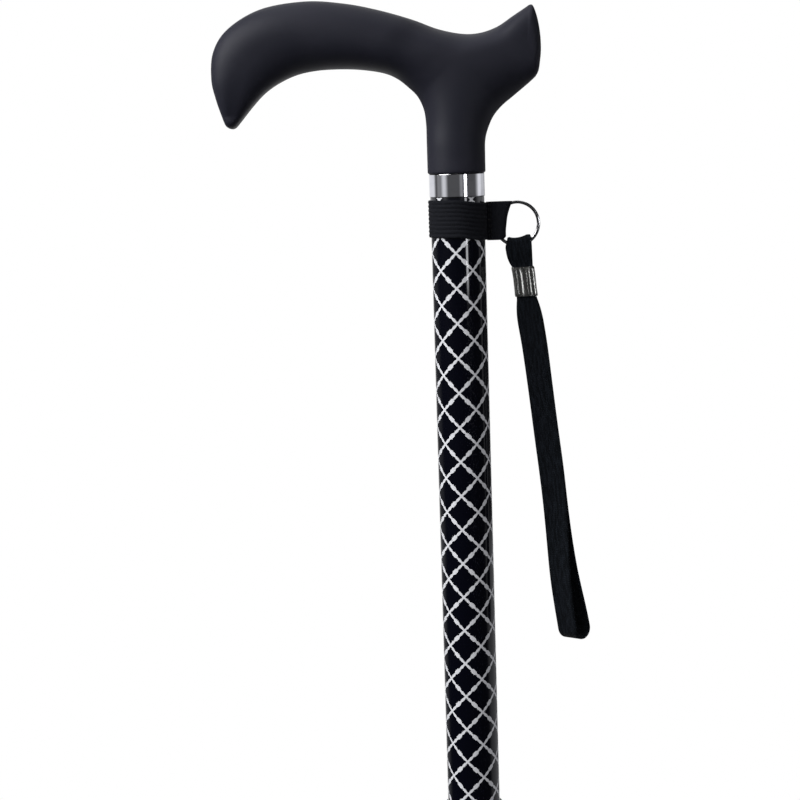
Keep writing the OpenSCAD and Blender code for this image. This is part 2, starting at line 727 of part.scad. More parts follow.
handle_grip();
handle_core();
handle_pin();
collar_ring();
upper_tube();
anchor_washer();
cord_upper();
upper_socket();
middle_plug();
middle_tube();
cord_middle();
middle_socket();
lower_plug();
lower_tube();
cord_lower();
stop_washer();
lock_collet();
lock_nut();
leg_tube();
snap_clip();
rubber_tip();
tip_washer();
keeper_band();
keeper_tab();
split_ring();
wrist_strap();
strap_crimp();
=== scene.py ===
import json
import math

import bmesh
import bpy
from mathutils import Matrix, Vector

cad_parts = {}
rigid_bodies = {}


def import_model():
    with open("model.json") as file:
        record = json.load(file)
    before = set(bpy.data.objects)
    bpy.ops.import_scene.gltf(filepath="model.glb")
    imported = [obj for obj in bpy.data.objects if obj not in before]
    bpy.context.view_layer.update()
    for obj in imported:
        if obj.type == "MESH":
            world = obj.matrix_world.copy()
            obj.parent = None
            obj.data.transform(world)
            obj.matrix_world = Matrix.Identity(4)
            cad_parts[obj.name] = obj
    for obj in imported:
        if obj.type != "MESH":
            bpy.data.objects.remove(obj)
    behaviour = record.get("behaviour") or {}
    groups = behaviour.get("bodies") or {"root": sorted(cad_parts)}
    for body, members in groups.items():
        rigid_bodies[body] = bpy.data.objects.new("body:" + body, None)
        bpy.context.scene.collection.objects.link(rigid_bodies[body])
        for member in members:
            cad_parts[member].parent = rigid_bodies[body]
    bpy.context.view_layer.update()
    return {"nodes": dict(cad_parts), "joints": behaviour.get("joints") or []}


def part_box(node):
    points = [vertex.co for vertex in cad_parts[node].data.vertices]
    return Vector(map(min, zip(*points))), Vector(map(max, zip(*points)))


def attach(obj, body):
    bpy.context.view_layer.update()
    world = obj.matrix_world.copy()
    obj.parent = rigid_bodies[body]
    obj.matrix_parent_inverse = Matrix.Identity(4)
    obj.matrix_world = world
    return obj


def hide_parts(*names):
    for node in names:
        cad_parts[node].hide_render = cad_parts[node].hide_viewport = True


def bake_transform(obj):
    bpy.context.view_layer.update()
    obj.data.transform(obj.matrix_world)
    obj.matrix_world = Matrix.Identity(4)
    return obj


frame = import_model()
nodes = frame["nodes"]
print("frame loaded,", len(nodes), "nodes")


# camera, placed as the photograph was taken

cameraView = {
    "aim": (-0.02700, 0.0, 0.70612),  # what lies in the middle of the picture
    "distance": 0.7424,
    "pitch": 8.26,  # degrees, looking down
    "roll": -1.893,  # degrees, the shaft leans in the picture
    "focalPixels": 1728.8,
    "imagePixels": 800,
    "sensor": 36.0,
    "clip": (0.01, 50),
}


def placeCamera(view):
    pitch, roll = math.radians(view["pitch"]), math.radians(view["roll"])
    back = Vector((0, -math.cos(pitch), math.sin(pitch)))
    side, up = Vector((1, 0, 0)), Vector((0, math.sin(pitch), math.cos(pitch)))
    turnedSide = side * math.cos(roll) + up * math.sin(roll)
    turnedUp = up * math.cos(roll) - side * math.sin(roll)
    data = bpy.data.cameras.new("camera")
    data.sensor_width = view["sensor"]
    data.lens = view["focalPixels"] * view["sensor"] / view["imagePixels"]
    data.clip_start, data.clip_end = view["clip"]
    camera = bpy.data.objects.new("camera", data)
    bpy.context.scene.collection.objects.link(camera)
    axes = Matrix((turnedSide, turnedUp, back)).transposed().to_4x4()
    axes.translation = Vector(view["aim"]) + back * view["distance"]
    camera.matrix_world = axes
    bpy.context.scene.camera = camera


placeCamera(cameraView)
print("camera placed")


# shader maths: a wire is a socket's value, and sums on wires add Math nodes

class Wire:
    def __init__(self, tree, socket):
        self.tree, self.socket = tree, socket

    def maths(self, operation, *others):
        return self.tree.add("ShaderNodeMath", {"operation": operation}, dict(enumerate((self, *others))))

    def __add__(self, other):
        return self.maths("ADD", other)

    def __sub__(self, other):
        return self.maths("SUBTRACT", other)

    def __mul__(self, other):
        return self.maths("MULTIPLY", other)

    def __truediv__(self, other):
        return self.maths("DIVIDE", other)

    def __rsub__(self, other):
        return self.tree.add("ShaderNodeMath", {"operation": "SUBTRACT"}, {0: other, 1: self})

    def __abs__(self):
        return self.maths("ABSOLUTE")

    __radd__, __rmul__ = __add__, __mul__

    def over(self, other):  # the larger of two
        return self.maths("MAXIMUM", other)

    def offWhole(self):  # distance to the nearest whole number
        return abs(self - self.maths("ROUND"))

    def wave(self):  # 1 to 0 and back once for each unit
        return 0.5 + 0.5 * (self * (2 * math.pi)).maths("COSINE")

    def soft(self, low, high):  # smooth step
        return self.tree.add("ShaderNodeMapRange", {"interpolation_type": "SMOOTHSTEP"},
                             {"Value": self, "From Min": low, "From Max": high})


class NodeTree:
    def __init__(self, owner):
        owner.use_nodes = True
        self.tree = owner.node_tree
        self.tree.nodes.clear()

    def add(self, kind, settings=None, sockets=None, out=0):
        node = self.tree.nodes.new(kind)
        for key, value in (settings or {}).items():
            setattr(node, key, value)
        for key, value in (sockets or {}).items():
            self.plug(node.inputs[key], value)
        return Wire(self, node.outputs[out]) if node.outputs else None

    def plug(self, socket, value):
        if isinstance(value, Wire):
            self.tree.links.new(value.socket, socket)
        else:
            socket.default_value = value

    def mix(self, factor, first, second):  # colours, whose sockets come after those for numbers and vectors
        first, second = [c if isinstance(c, Wire) else (*c, 1) for c in (first, second)]
        return self.add("ShaderNodeMix", {"data_type": "RGBA"}, {0: factor, 6: first, 7: second}, 2)

    def place(self):  # x, y and z in the frame of the part
        spot = self.add("ShaderNodeTexCoord", None, None, "Object")
        return [self.add("ShaderNodeSeparateXYZ", None, {0: spot}, axis) for axis in "XYZ"]

    def along(self, layer):  # across and along a woven piece, in metres
        spot = self.add("ShaderNodeUVMap", {"uv_map": layer})
        return [self.add("ShaderNodeSeparateXYZ", None, {0: spot}, axis) for axis in "XY"]

    def noise(self, scale, detail=3.0, rough=0.55):
        spot = self.add("ShaderNodeTexCoord", None, None, "Object")
        return self.add("ShaderNodeTexNoise", None,
                        {"Vector": spot, "Scale": scale, "Detail": detail, "Roughness": rough})

    def streaks(self, across, way):  # noise drawn out along a woven piece
        spot = self.add("ShaderNodeCombineXYZ", None, {0: across, 1: way})
        return self.add("ShaderNodeTexNoise", None, {"Vector": spot, "Scale": 1.0, "Detail": 2.0})

    def lines(self, value, scale, detail):  # noise that changes with one value only
        return self.add("ShaderNodeTexNoise", {"noise_dimensions": "1D"},
                        {"W": value, "Scale": scale, "Detail": detail})

    def bump(self, height, strength, distance):
        return self.add("ShaderNodeBump", None,
                        {"Strength": strength, "Distance": distance, "Height": height})

    def seen(self):  # 1 for what the camera sees, straight or by way of metal and glass
        rays = ("Is Camera Ray", "Is Glossy Ray", "Is Transmission Ray")
        camera, glossy, through = [self.add("ShaderNodeLightPath", None, None, ray) for ray in rays]
        return camera.over(glossy).over(through)


class Finish(NodeTree):
    def __init__(self, name, **fixed):
        self.material = bpy.data.materials.new(name)
        super().__init__(self.material)
        self.fixed = {key.replace("_", " "): value for key, value in fixed.items()}

    def done(self, **varying):
        sockets = {**self.fixed, **{key.replace("_", " "): value for key, value in varying.items()}}
        shader = self.add("ShaderNodeBsdfPrincipled", None, sockets)
        self.add("ShaderNodeOutputMaterial", None, {"Surface": shader})
        return self.material


# finishes

gripFinish = {"colour": (0.0136, 0.0142, 0.0236), "worn": (0.0162, 0.0166, 0.0268), "roughness": 0.50}


def softTouchFinish(look):
    finish = Finish("softTouch", Specular_IOR_Level=0.26, Sheen_Weight=0.01, Sheen_Roughness=0.45)
    handled = finish.noise(28, 4).soft(0.42, 0.66)
    grain = finish.noise(2600, 2)
    return finish.done(Base_Color=finish.mix(handled, look["colour"], look["worn"]),
                       Roughness=look["roughness"] + 0.07 * handled + 0.08 * grain,
                       Normal=finish.bump(grain, 0.08, 0.0002))


collarFinish = {
    "name": "collarChrome",
    "colour": (0.72, 0.72, 0.74),
    "dull": (0.62, 0.62, 0.65),
    "roughness": 0.035,
}
ringFinish = {
    "name": "ringChrome",
    "colour": (0.70, 0.70, 0.71),
    "dull": (0.58, 0.58, 0.59),
    "roughness": 0.10,
}
crimpFinish = {
    "name": "crimpNickel",
    "colour": (0.58, 0.58, 0.55),
    "dull": (0.46, 0.46, 0.43),
    "roughness": 0.24,
}


def chromePlate(look):
    finish = Finish(look["name"], Metallic=1.0)
    haze = finish.noise(160, 4).soft(0.45, 0.75)
    polish = finish.lines(finish.place()[2], 5200.0, 2.0)
    return finish.done(Base_Color=finish.mix(haze, look["colour"], look["dull"]),
                       Roughness=look["roughness"] + 0.04 * haze + 0.03 * polish)


steelFinish = {"colour": (0.56, 0.56, 0.57), "stain": (0.42, 0.41, 0.40)}


def plainSteel(look):
    finish = Finish("plainSteel", Metallic=1.0)
    stain = finish.noise(300, 4).soft(0.4, 0.7)
    return finish.done(Base_Color=finish.mix(stain, look["colour"], look["stain"]),
                       Roughness=0.28 + 0.18 * stain)


# the trellis: two families of slanting lines that thicken a little where they cross and swell in between
trellis = {
    "columns": 5,  # of crossings round the tube
    "turn": -98.2,  # degrees from +X to one column
    "wind": 25.0,  # degrees that the columns wind round the tube in each metre
    "crossing": 0.76882,  # height of one crossing in that column
    "pitch": 0.014771,
    "line": 0.00041,  # half widths
    "knot": 0.00052,  # at the crossings
    "shoulder": 0.00058,  # on each side of a swell
    "swell": 0.00087,  # halfway between crossings
    "edge": 0.00005,
    "film": 0.00038,  # thickness of print and lacquer on the tube
    "ink": (0.77, 0.78, 0.815),
    "ground": (0.0011, 0.0014, 0.0046),
}


def printedGloss(look, radius):
    finish = Finish("printedGloss", Coat_Weight=1.0, Coat_Roughness=0.03, Coat_IOR=1.5,
                    Specular_IOR_Level=0.05)
    x, y, z = finish.place()
    rise = z - look["crossing"]
    turn = y.maths("ARCTAN2", x) - math.radians(look["turn"]) - rise * math.radians(look["wind"])
    column = turn * (look["columns"] / (2 * math.pi))
    row = rise / look["pitch"]
    columnWidth = 2 * math.pi * radius / look["columns"]
    spacing = 1 / math.hypot(1 / columnWidth, 1 / look["pitch"])  # from a line to its neighbour
    rising, falling = row + column, row - column
    line = look["line"]

    def inside(across, way):  # more than 0 inside a line, whose half width goes with the way from a crossing
        knot, swell = 1 - way.soft(0.02, 0.09), way.soft(0.34, 0.42)
        shoulder = way.soft(0.11, 0.17) - way.soft(0.25, 0.31)
        half = line + (look["shoulder"] - line) * shoulder + (look["knot"] - line) * knot
        return half + (look["swell"] - line) * swell - across * spacing

    offRising, offFalling = rising.offWhole(), falling.offWhole()
    lines = inside(offRising, offFalling).over(inside(offFalling, offRising))
    ink = lines.soft(-look["edge"], look["edge"])
    speck = finish.noise(900, 3)
    shade = finish.mix(speck.soft(0.3, 0.8), look["ink"], [0.94 * c for c in look["ink"]])
    return finish.done(Base_Color=finish.mix(ink, look["ground"], shade),
                       Roughness=0.35 + 0.15 * ink + 0.05 * speck,
                       Normal=finish.bump(ink, 0.12, 0.00004))


def mouldedPlastic(name, colour, roughness, grainScale=1800):
    finish = Finish(name, Specular_IOR_Level=0.45)
    grain = finish.noise(grainScale, 3)
    flow = finish.noise(60, 3).soft(0.4, 0.7)
    return finish.done(Base_Color=finish.mix(flow, colour, [1.35 * c for c in colour]),
                       Roughness=roughness + 0.1 * grain,
                       Normal=finish.bump(grain, 0.12, 0.0002))


def anodisedMetal(colour):
    finish = Finish("anodisedMetal", Metallic=0.55, Specular_IOR_Level=0.5)
    x, y = finish.place()[:2]
    drawn = finish.lines(y.maths("ARCTAN2", x), 90.0, 4.0)
    rub = finish.noise(140, 5).soft(0.55, 0.75)
    return finish.done(Base_Color=finish.mix(rub, colour, [1.8 * c for c in colour]),
                       Roughness=0.3 + 0.14 * drawn + 0.08 * rub)


def mouldedRubber(colour):
    finish = Finish("mouldedRubber", Specular_IOR_Level=0.3)
    dust = finish.noise(45, 5).soft(0.5, 0.8)
    grain = finish.noise(1500, 4)
    return finish.done(Base_Color=finish.mix(dust, colour, [1.7 * c for c in colour]),
                       Roughness=0.72 + 0.12 * dust,
                       Normal=finish.bump(grain, 0.25, 0.0003))


# in both weaves the second colour is painted on the raised threads as a painted highlight, so the low threads
# read darker as painted shade
elasticFinish = {
    "name": "elasticWeave",
    "colour": (0.0038, 0.0046, 0.0066),
    "paintedCrownLight": (0.0180, 0.0188, 0.0255),
    "warp": 0.0006,
    "weft": 0.0006,
    "relief": 0.00015,
    "paintedStreakShade": 0.0,
}
webbingFinish = {
    "name": "webbingWeave",
    "colour": (0.0016, 0.0026, 0.0044),
    "paintedCrownLight": (0.0086, 0.0114, 0.0165),
    "warp": 0.0007,
    "weft": 0.0009,
    "relief": 0.0002,
    "paintedStreakShade": 1.3,  # how much lighter or darker a stretch of thread is painted, as if it lay higher or lower for a while: painted highlight and painted shade
    "streak": (1.25, 7),  # width and length of such a stretch, in threads
}


def wovenFinish(look):
    # warp runs along the piece, weft across it, each thread going over and under
    finish = Finish(look["name"], Specular_IOR_Level=0.12, Sheen_Weight=0.03, Sheen_Roughness=0.4)
    across, way = finish.along("weave")
    lane, pick = across / look["warp"], way / look["weft"]
    over = (lane * math.pi).maths("SINE") * (pick * math.pi).maths("SINE")  # which thread is on top
    warpHeight = (1 - lane.offWhole() * 2) * over.soft(-0.2, 0.4)
    weftHeight = (1 - pick.offWhole() * 2) * (0 - over).soft(-0.2, 0.4)
    fluff = finish.noise(1400, 4)
    height = warpHeight + weftHeight + 0.5 * fluff
    # painted highlight and painted shade: raised threads take the lighter colour and low ones the darker
    shade = height.soft(0.35, 1.25)
    # painted highlight and painted shade on stretches of thread, lighter or darker as if they lay higher or
    # lower
    if look["paintedStreakShade"]:
        width, length = look["streak"]
        drawn = finish.streaks(lane / width, pick / length).soft(0.36, 0.64)
        shade = shade * (1 - look["paintedStreakShade"] + 2 * look["paintedStreakShade"] * drawn)
    return finish.done(Base_Color=finish.mix(shade, look["colour"], look["paintedCrownLight"]),
                       Roughness=0.78 + 0.12 * fluff,
                       Normal=finish.bump(height, 0.5, look["relief"]))


# the second colour is painted where the strands cross, a painted highlight, and the grooves between them keep
# the darker colour as painted shade
cordFinish = {
    "colour": (0.010, 0.010, 0.010),
    "paintedCrownLight": (0.034, 0.034, 0.036),
    "strands": 8,  # each way round the cord
    "climb": 0.0022,
}


def braidedCord(look):
    finish = Finish("braidedCord", Sheen_Weight=0.2, Sheen_Roughness=0.4)
    x, y, z = finish.place()
    turn, climb = y.maths("ARCTAN2", x) * (look["strands"] / (2 * math.pi)), z / look["climb"]
    strands = (turn + climb).wave() * (turn - climb).wave()
    # the strands' colour is painted highlight and painted shade; the same pattern makes the bump
    return finish.done(Base_Color=finish.mix(strands, look["colour"], look["paintedCrownLight"]),
                       Roughness=0.7 + 0.15 * strands,
                       Normal=finish.bump(strands, 0.6, 0.0003))


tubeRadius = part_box("upper_tube")[1].x + trellis["film"]
softTouch = softTouchFinish(gripFinish)
collarChrome, ringChrome, crimpNickel = map(chromePlate, (collarFinish, ringFinish, crimpFinish))
steel = plainSteel(steelFinish)
printed = printedGloss(trellis, tubeRadius)
jointPlastic = mouldedPlastic("jointPlastic", (0.014, 0.014, 0.015), 0.38)
lockPlastic = mouldedPlastic("lockPlastic", (0.017, 0.017, 0.018), 0.46, 1200)
corePlastic = mouldedPlastic("corePlastic", (0.10, 0.10, 0.10), 0.5)
legMetal = anodisedMetal((0.020, 0.020, 0.022))
rubber = mouldedRubber((0.017, 0.017, 0.0175))
elastic, webbing = map(wovenFinish, (elasticFinish, webbingFinish))
thread = mouldedPlastic("sewingThread", (0.012, 0.012, 0.013), 0.7, 4000)
shockCord = braidedCord(cordFinish)
print("finishes mixed")


# mesh helpers

creaseAngle = 38.0  # degrees, what is sharper stays an edge


def addPiece(name, points, faces, material, body, slot, replaced=(), crease=creaseAngle, weave=None):
    mesh = bpy.data.meshes.new(name)
    mesh.from_pydata([tuple(p) for p in points], [], faces)
    build = bmesh.new()
    build.from_mesh(mesh)
    bmesh.ops.recalc_face_normals(build, faces=build.faces)
    build.to_mesh(mesh)
    build.free()
    mesh.polygons.foreach_set("use_smooth", [True] * len(mesh.polygons))
    mesh.set_sharp_from_angle(angle=math.radians(crease))
    if weave:
        layer = mesh.uv_layers.new(name="weave")
        for loop in mesh.loops:
            layer.data[loop.index].uv = weave[loop.vertex_index]
    mesh.materials.append(material)
    piece = bpy.data.objects.new(name, mesh)
    bpy.context.scene.collection.objects.link(piece)
    if body:
        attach(piece, body)
    if replaced:
        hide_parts(*replaced)
    return piece


def roundCorners(outline, steps=5):  # points (r, z) or (r, z, fillet) of a closed outline
    rounded = []
    for i, corner in enumerate(outline):
        here = Vector(corner[:2])
        if len(corner) < 3:
            rounded.append(here)
            continue
        before, after = Vector(outline[i - 1][:2]), Vector(outline[(i + 1) % len(outline)][:2])
        arms = [other - here for other in (before, after)]  # a fillet takes less than half of each
        starts = [here + arm.normalized() * min(corner[2], arm.length * 0.45) for arm in arms]
        guards = [here + arm.normalized() * min(corner[2] * 1.3, arm.length * 0.48) for arm in arms]
        rounded.append(guards[0])  # the guards keep the flat sides shading flat
        for k in range(steps + 1):
            t = k / steps
            rounded.append(starts[0] * (1 - t) ** 2 + here * (2 * t * (1 - t)) + starts[1] * t * t)
        rounded.append(guards[1])
    return rounded


def revolve(outline, segments, shape=None):  # a closed outline turned round Z, shape can change each point
    points, faces = [], []
    count = len(outline)
    for s in range(segments):
        turn = 2 * math.pi * s / segments
        for r, z in outline:
            if shape:
                r, z = shape(r, z, turn)
            points.append((r * math.cos(turn), r * math.sin(turn), z))
    for s in range(segments):
        for i in range(count):
            a, b = s * count + i, s * count + (i + 1) % count
            c, d = (s + 1) % segments * count + (i + 1) % count, (s + 1) % segments * count + i
            faces.append((a, b, c, d))
    return points, faces


def loft(rings, closed=False):  # rings of equal count, each a closed loop of points
    points = [p for ring in rings for p in ring]
    count, faces = len(rings[0]), []
    for k in range(len(rings) - (0 if closed else 1)):
        low, high = k * count, (k + 1) % len(rings) * count
        faces += [(low + i, low + (i + 1) % count, high + (i + 1) % count, high + i) for i in range(count)]
    return points, faces


def capped(points, faces, count):  # closes the first and the last ring of a loft
    last = len(points) - count
    return points, faces + [tuple(range(count)), tuple(last + i for i in reversed(range(count)))]


def joined(*parts):  # several (points, faces) as one
    points, faces = [], []
    for morePoints, moreFaces in parts:
        faces += [tuple(i + len(points) for i in face) for face in moreFaces]
        points += morePoints
    return points, faces


def circle(radius, sides):
    turns = [2 * math.pi * k / sides for k in range(sides)]
    return [(radius * math.cos(t), radius * math.sin(t)) for t in turns]


def walked(route):  # each stop of a flat route, the way it goes there and the length run so far
    run = 0.0
    for i, stop in enumerate(route):
        ahead, behind = route[min(i + 1, len(route) - 1)], route[max(i - 1, 0)]
        run += math.dist(stop, behind)
        yield stop, (Vector(ahead) - Vector(behind)).normalized(), run


def step(t):  # smooth, from 0 to 1
    t = min(1, max(0, t))
    return t * t * (3 - 2 * t)


def ramp(value, low, high):  # smooth, 0 at low and 1 at high
    return step((value - low) / (high - low))


def smoothRows(rows, steps, before=None, after=None):  # a smooth curve through rows of numbers
    curve = []
    last = len(rows) - 1
    more = [before or rows[0], *rows, after or rows[last]]  # what it comes from and runs on to
    for i in range(last):
        a, b, c, d = more[i:i + 4]
        for k in range(steps):
            t = k / steps
            curve.append([0.5 * (2 * q + (r - p) * t + (2 * p - 5 * q + 4 * r - s) * t * t
                                 + (3 * q - p - 3 * r + s) * t ** 3) for p, q, r, s in zip(a, b, c, d)])
    return curve + [list(rows[last])]


# handle

handle = {
    "hookReach": 0.1012,
    "noseReach": 0.0364,
    "height": 0.0728,
    "width": 0.026,
    "stemRadius": 0.0122,
    "lip": 0.0009,  # rounding of the stem's lower edge
    "lipSteps": 6,
    "fullness": 0.93,  # 1 is an elliptic section, less is squarer
    "hookFullness": 0.58,  # the flatter outer face of the hook
    "hookFlat": 5.5,  # rows of hookShares over which that fades
    "noseFullness": 0.60,  # the end face of the nose
    "noseRound": 0.45,  # share of the nose that isn't squarer yet
    "steps": 7,
    "levels": 18,
    "saddle": (0.001, 0.042),  # where hook, nose and stem run together, x and height
    "saddleReach": (0.022, 0.032),  # all of the easing within the first, none beyond the second
    "easing": 180,  # passes
    "easingShares": (0.5, -0.40),  # in and most of the way out again, so that the form keeps its depth
    "easingRim": (0.05, 0.35),  # none below the first depth, all above the second, in radii of the stem
    "leastLink": 0.02,
    # spine x and z, half width, upper edge x and z, lower edge x and z, as shares of reach, height and width
    "hookShares": [
        (0.918, 0.367, 0.58, 0.962, 0.360, 0.878, 0.349), (0.903, 0.463, 0.75, 0.984, 0.460, 0.830, 0.426),
        (0.885, 0.574, 0.88, 1.000, 0.577, 0.781, 0.492), (0.850, 0.673, 0.95, 0.988, 0.732, 0.719, 0.547),
        (0.787, 0.757, 0.98, 0.924, 0.860, 0.645, 0.589), (0.690, 0.802, 1.00, 0.787, 0.964, 0.564, 0.609),
        (0.563, 0.808, 1.00, 0.604, 1.000, 0.474, 0.613), (0.433, 0.787, 1.00, 0.443, 0.981, 0.384, 0.606),
        (0.303, 0.750, 0.99, 0.302, 0.938, 0.293, 0.584), (0.155, 0.703, 0.97, 0.163, 0.878, 0.236, 0.550),
        (0.072, 0.677, 0.962, 0.061, 0.822, 0.190, 0.499)],
    "noseShares": [
        (0.272, 0.668, 0.92, 0.310, 0.793, 0.659, 0.424), (0.489, 0.691, 0.86, 0.508, 0.824, 0.769, 0.467),
        (0.681, 0.709, 0.80, 0.687, 0.880, 0.865, 0.505), (0.841, 0.723, 0.74, 0.852, 0.931, 0.934, 0.536)],
    # side outline round the two ends
    "hookEnd": [(0.950, 0.316), (0.935, 0.298), (0.920, 0.294), (0.908, 0.302), (0.894, 0.323)],
    "noseEnd": [
        (0.882, 0.940), (0.913, 0.937), (0.941, 0.908), (0.973, 0.848), (0.995, 0.771), (1, 0.687),
        (0.986, 0.618), (0.967, 0.567)],
    # the stem: x and half width as shares of its radius, first where hook, nose and stem meet
    "meet": (0.083, 0.647, 1.017, 0.311, 0.791),
    "stemSpine": [(0.041, 0.495, 1.008), (0.017, 0.357, 1), (0, 0.234, 1), (0, 0.117, 1), (0, 0.026, 1)],
    "stemBack": [(1.262, 0.444), (1.066, 0.370), (1.003, 0.288), (1, 0.199), (1, 0.103), (1, 0.013)],
    "stemFront": [(1.607, 0.376), (1.320, 0.320), (1.131, 0.254), (1.020, 0.185), (1.003, 0.103), (1, 0.013)],
}


def scaledRow(shares, x, z, half):
    return [a * b for a, b in zip(shares, (x, z, half, x, z, x, z))]


def gripRow(form, shares, reach):
    return scaledRow(shares, reach, form["height"], form["width"] / 2)


def stemRow(form, spine, upper, lower):
    return scaledRow((*spine, *upper, *lower), form["stemRadius"], form["height"], form["stemRadius"])


def handleRibs(form):
    # ribs run from the side outline in to a spine
    # each is its edge's x and z, its place on the spine and its fullness
    steps, meet = form["steps"], form["meet"]
    hook = [gripRow(form, s, -form["hookReach"]) for s in form["hookShares"]]
    nose = [gripRow(form, s, form["noseReach"]) for s in form["noseShares"]]
    back, front = [(-x, z) for x, z in form["stemBack"]], form["stemFront"]
    stem = [stemRow(form, s, b, f) for s, b, f in zip([meet[:3]] + form["stemSpine"], back, front)]
    above = [2 * a - b for a, b in zip(stem[0][:3], stem[1][:3])]
    # each runs on into its neighbours, so the outline has no corner where they meet
    hookMeet, noseMeet = [stemRow(form, meet[:3], meet[3:], side) for side in (back[0], front[0])]
    hookRows = smoothRows(hook + [hookMeet], steps, None, nose[0][:5] + stem[1][3:5])
    noseRows = smoothRows([noseMeet] + nose, steps, hook[-1][:5] + stem[1][5:])
    stemRows = smoothRows(stem, steps, above + hook[-1][5:] + nose[0][5:])
    r, lip = form["stemRadius"], form["lip"]
    for k in range(1, form["lipSteps"] + 1):  # the rounded lower edge
        turn = math.pi / 2 * k / form["lipSteps"]
        inset, z = r - lip * (1 - math.cos(turn)), lip * (1 - math.sin(turn))
        stemRows.append([0, z, inset, -inset, z, inset, z])
    spine = [row[:3] for row in hookRows + noseRows[1:] + stemRows[1:]]
    hooks, noses, stems = len(hookRows), len(noseRows), len(stemRows)
    arms = hooks + noses - 1
    plain = form["fullness"]

    def endEdge(shares, reach, row):
        inner = [(x * reach, z * form["height"]) for x, z in shares]
        return smoothRows([(row[3], row[4])] + inner + [(row[5], row[6])], steps)

    def hookFull(i):
        fade = step(i / (steps * form["hookFlat"]))
        return form["hookFullness"] + (plain - form["hookFullness"]) * fade

    def noseFull(i):
        return plain + (form["noseFullness"] - plain) * ramp(i / (noses - 1), form["noseRound"], 1)

    noseEnd = endEdge(form["noseEnd"], form["noseReach"], noseRows[-1])
    hookEnd = endEdge(form["hookEnd"], -form["hookReach"], hookRows[0])
    ribs = [(stemRows[i][5], stemRows[i][6], arms + i - 1, plain) for i in range(stems - 1, 0, -1)]
    ribs += [(noseRows[i][5], noseRows[i][6], hooks - 1 + i, noseFull(i)) for i in range(noses)]
    ribs += [(x, z, arms - 1, form["noseFullness"]) for x, z in noseEnd[-2:0:-1]]
    ribs += [(noseRows[i][3], noseRows[i][4], hooks - 1 + i, noseFull(i)) for i in range(noses - 1, 0, -1)]
    ribs += [(hookRows[i][3], hookRows[i][4], i, hookFull(i)) for i in range(hooks - 1, -1, -1)]
    ribs += [(x, z, 0, form["hookFullness"]) for x, z in hookEnd[1:-1]]
    ribs += [(hookRows[i][5], hookRows[i][6], i, hookFull(i)) for i in range(hooks)]
    ribs += [(stemRows[i][3], stemRows[i][4], arms + i - 1, plain) for i in range(1, stems)]
    return ribs, spine


def eased(points, faces, form, seat):
    # evens out the creases between hook, nose and stem, each point drawn to its neighbours' depth
    places, depths = [Vector((x, z)) for x, y, z in points], [y for x, y, z in points]
    near = [{} for p in points]  # neighbours and how much each counts, by the angle across from it
    for face in faces:
        for k in range(1, len(face) - 1):
            corners = (face[0], face[k], face[k + 1])
            for a, b, c in (corners, corners[1:] + corners[:1], corners[2:] + corners[:2]):
                u, v = places[b] - places[a], places[c] - places[a]
                weight = u.dot(v) / max(abs(u.cross(v)), 1e-9)
                near[b][c] = near[b].get(c, 0) + weight
                near[c][b] = near[c].get(b, 0) + weight
    inner, outer = form["saddleReach"]
    centre = Vector((form["saddle"][0], seat + form["saddle"][1]))
    pulls = {}
    for i, place in enumerate(places):
        pull = ramp((place - centre).length, outer, inner)
        pull *= ramp(abs(depths[i]) / form["stemRadius"], *form["easingRim"])
        if pull > 0:
            links = [(j, max(w, form["leastLink"])) for j, w in near[i].items()]
            pulls[i] = (pull, links, sum(w for j, w in links))
    for k in range(form["easing"]):
        for share in form["easingShares"]:
            moved = {i: depths[i] + share * pull * (sum(depths[j] * w for j, w in links) / total - depths[i])
                     for i, (pull, links, total) in pulls.items()}
            for i, depth in moved.items():
                depths[i] = depth
    return [(x, depth, z) for (x, y, z), depth in zip(points, depths)]


def makeHandle(form):
    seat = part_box("handle_grip")[0].z
    ribs, spine = handleRibs(form)
    levels = form["levels"]
    points, lookup = [], {}

    def spot(rib, level, side):  # index of a point, shared on the outline and on the spine
        key = (rib, level, side if level else 0)
        if level == levels:
            key = ("spine", ribs[rib][2], side)
        if key not in lookup:
            x, z, foot, full = ribs[rib]
            fx, fz, half = spine[foot]
            turn = math.pi / 2 * level / levels
            inward = 1 - max(0, math.cos(turn)) ** full
            depth = side * half * math.sin(turn) ** full
            points.append((x + (fx - x) * inward, depth, seat + z + (fz - z) * inward))
            lookup[key] = len(points) - 1
        return lookup[key]

    faces = []
    for side in (-1, 1):
        for r in range(len(ribs) - 1):
            for level in range(levels):
                corners = (spot(r, level, side), spot(r, level + 1, side),
                           spot(r + 1, level + 1, side), spot(r + 1, level, side))
                faces.append(tuple(dict.fromkeys(corners)))
    last = len(ribs) - 1
    rim = [spot(last, k, -1) for k in range(levels + 1)]  # the stem's lower face
    rim += [spot(0, k, -1) for k in range(levels - 1, -1, -1)]
    rim += [spot(0, k, 1) for k in range(1, levels + 1)]
    rim += [spot(last, k, 1) for k in range(levels - 1, 0, -1)]
    faces.append(tuple(rim))
    points = eased(points, faces, form, seat)
    addPiece("handle_soft_grip", points, faces, softTouch, "upper_section", "soft_grip", ["handle_grip"],
             crease=60)


makeHandle(handle)
print("handle shaped")


# shaft: collar and printed tubes

shaft = {
    "segments": 128,
    "collarEdge": 0.0003,
    "tubeEdge": 0.0002,
    "filmGap": 0.00005,  # between the collar and what is under it
    "legClear": 0.0004,  # between a tube's bore and the leg
    "holeSides": 32,
    "drillReach": 0.02,
}


def makeCollar(form):
    low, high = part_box("collar_ring")
    inner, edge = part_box("upper_tube")[1].x + form["filmGap"], form["collarEdge"]
    outline = [(inner, low.z), (high.x, low.z, edge), (high.x, high.z, edge), (inner, high.z)]
    points, faces = revolve(roundCorners(outline), form["segments"])
    addPiece("chrome_collar", points, faces, collarChrome, "upper_section", "chrome", ["collar_ring"])


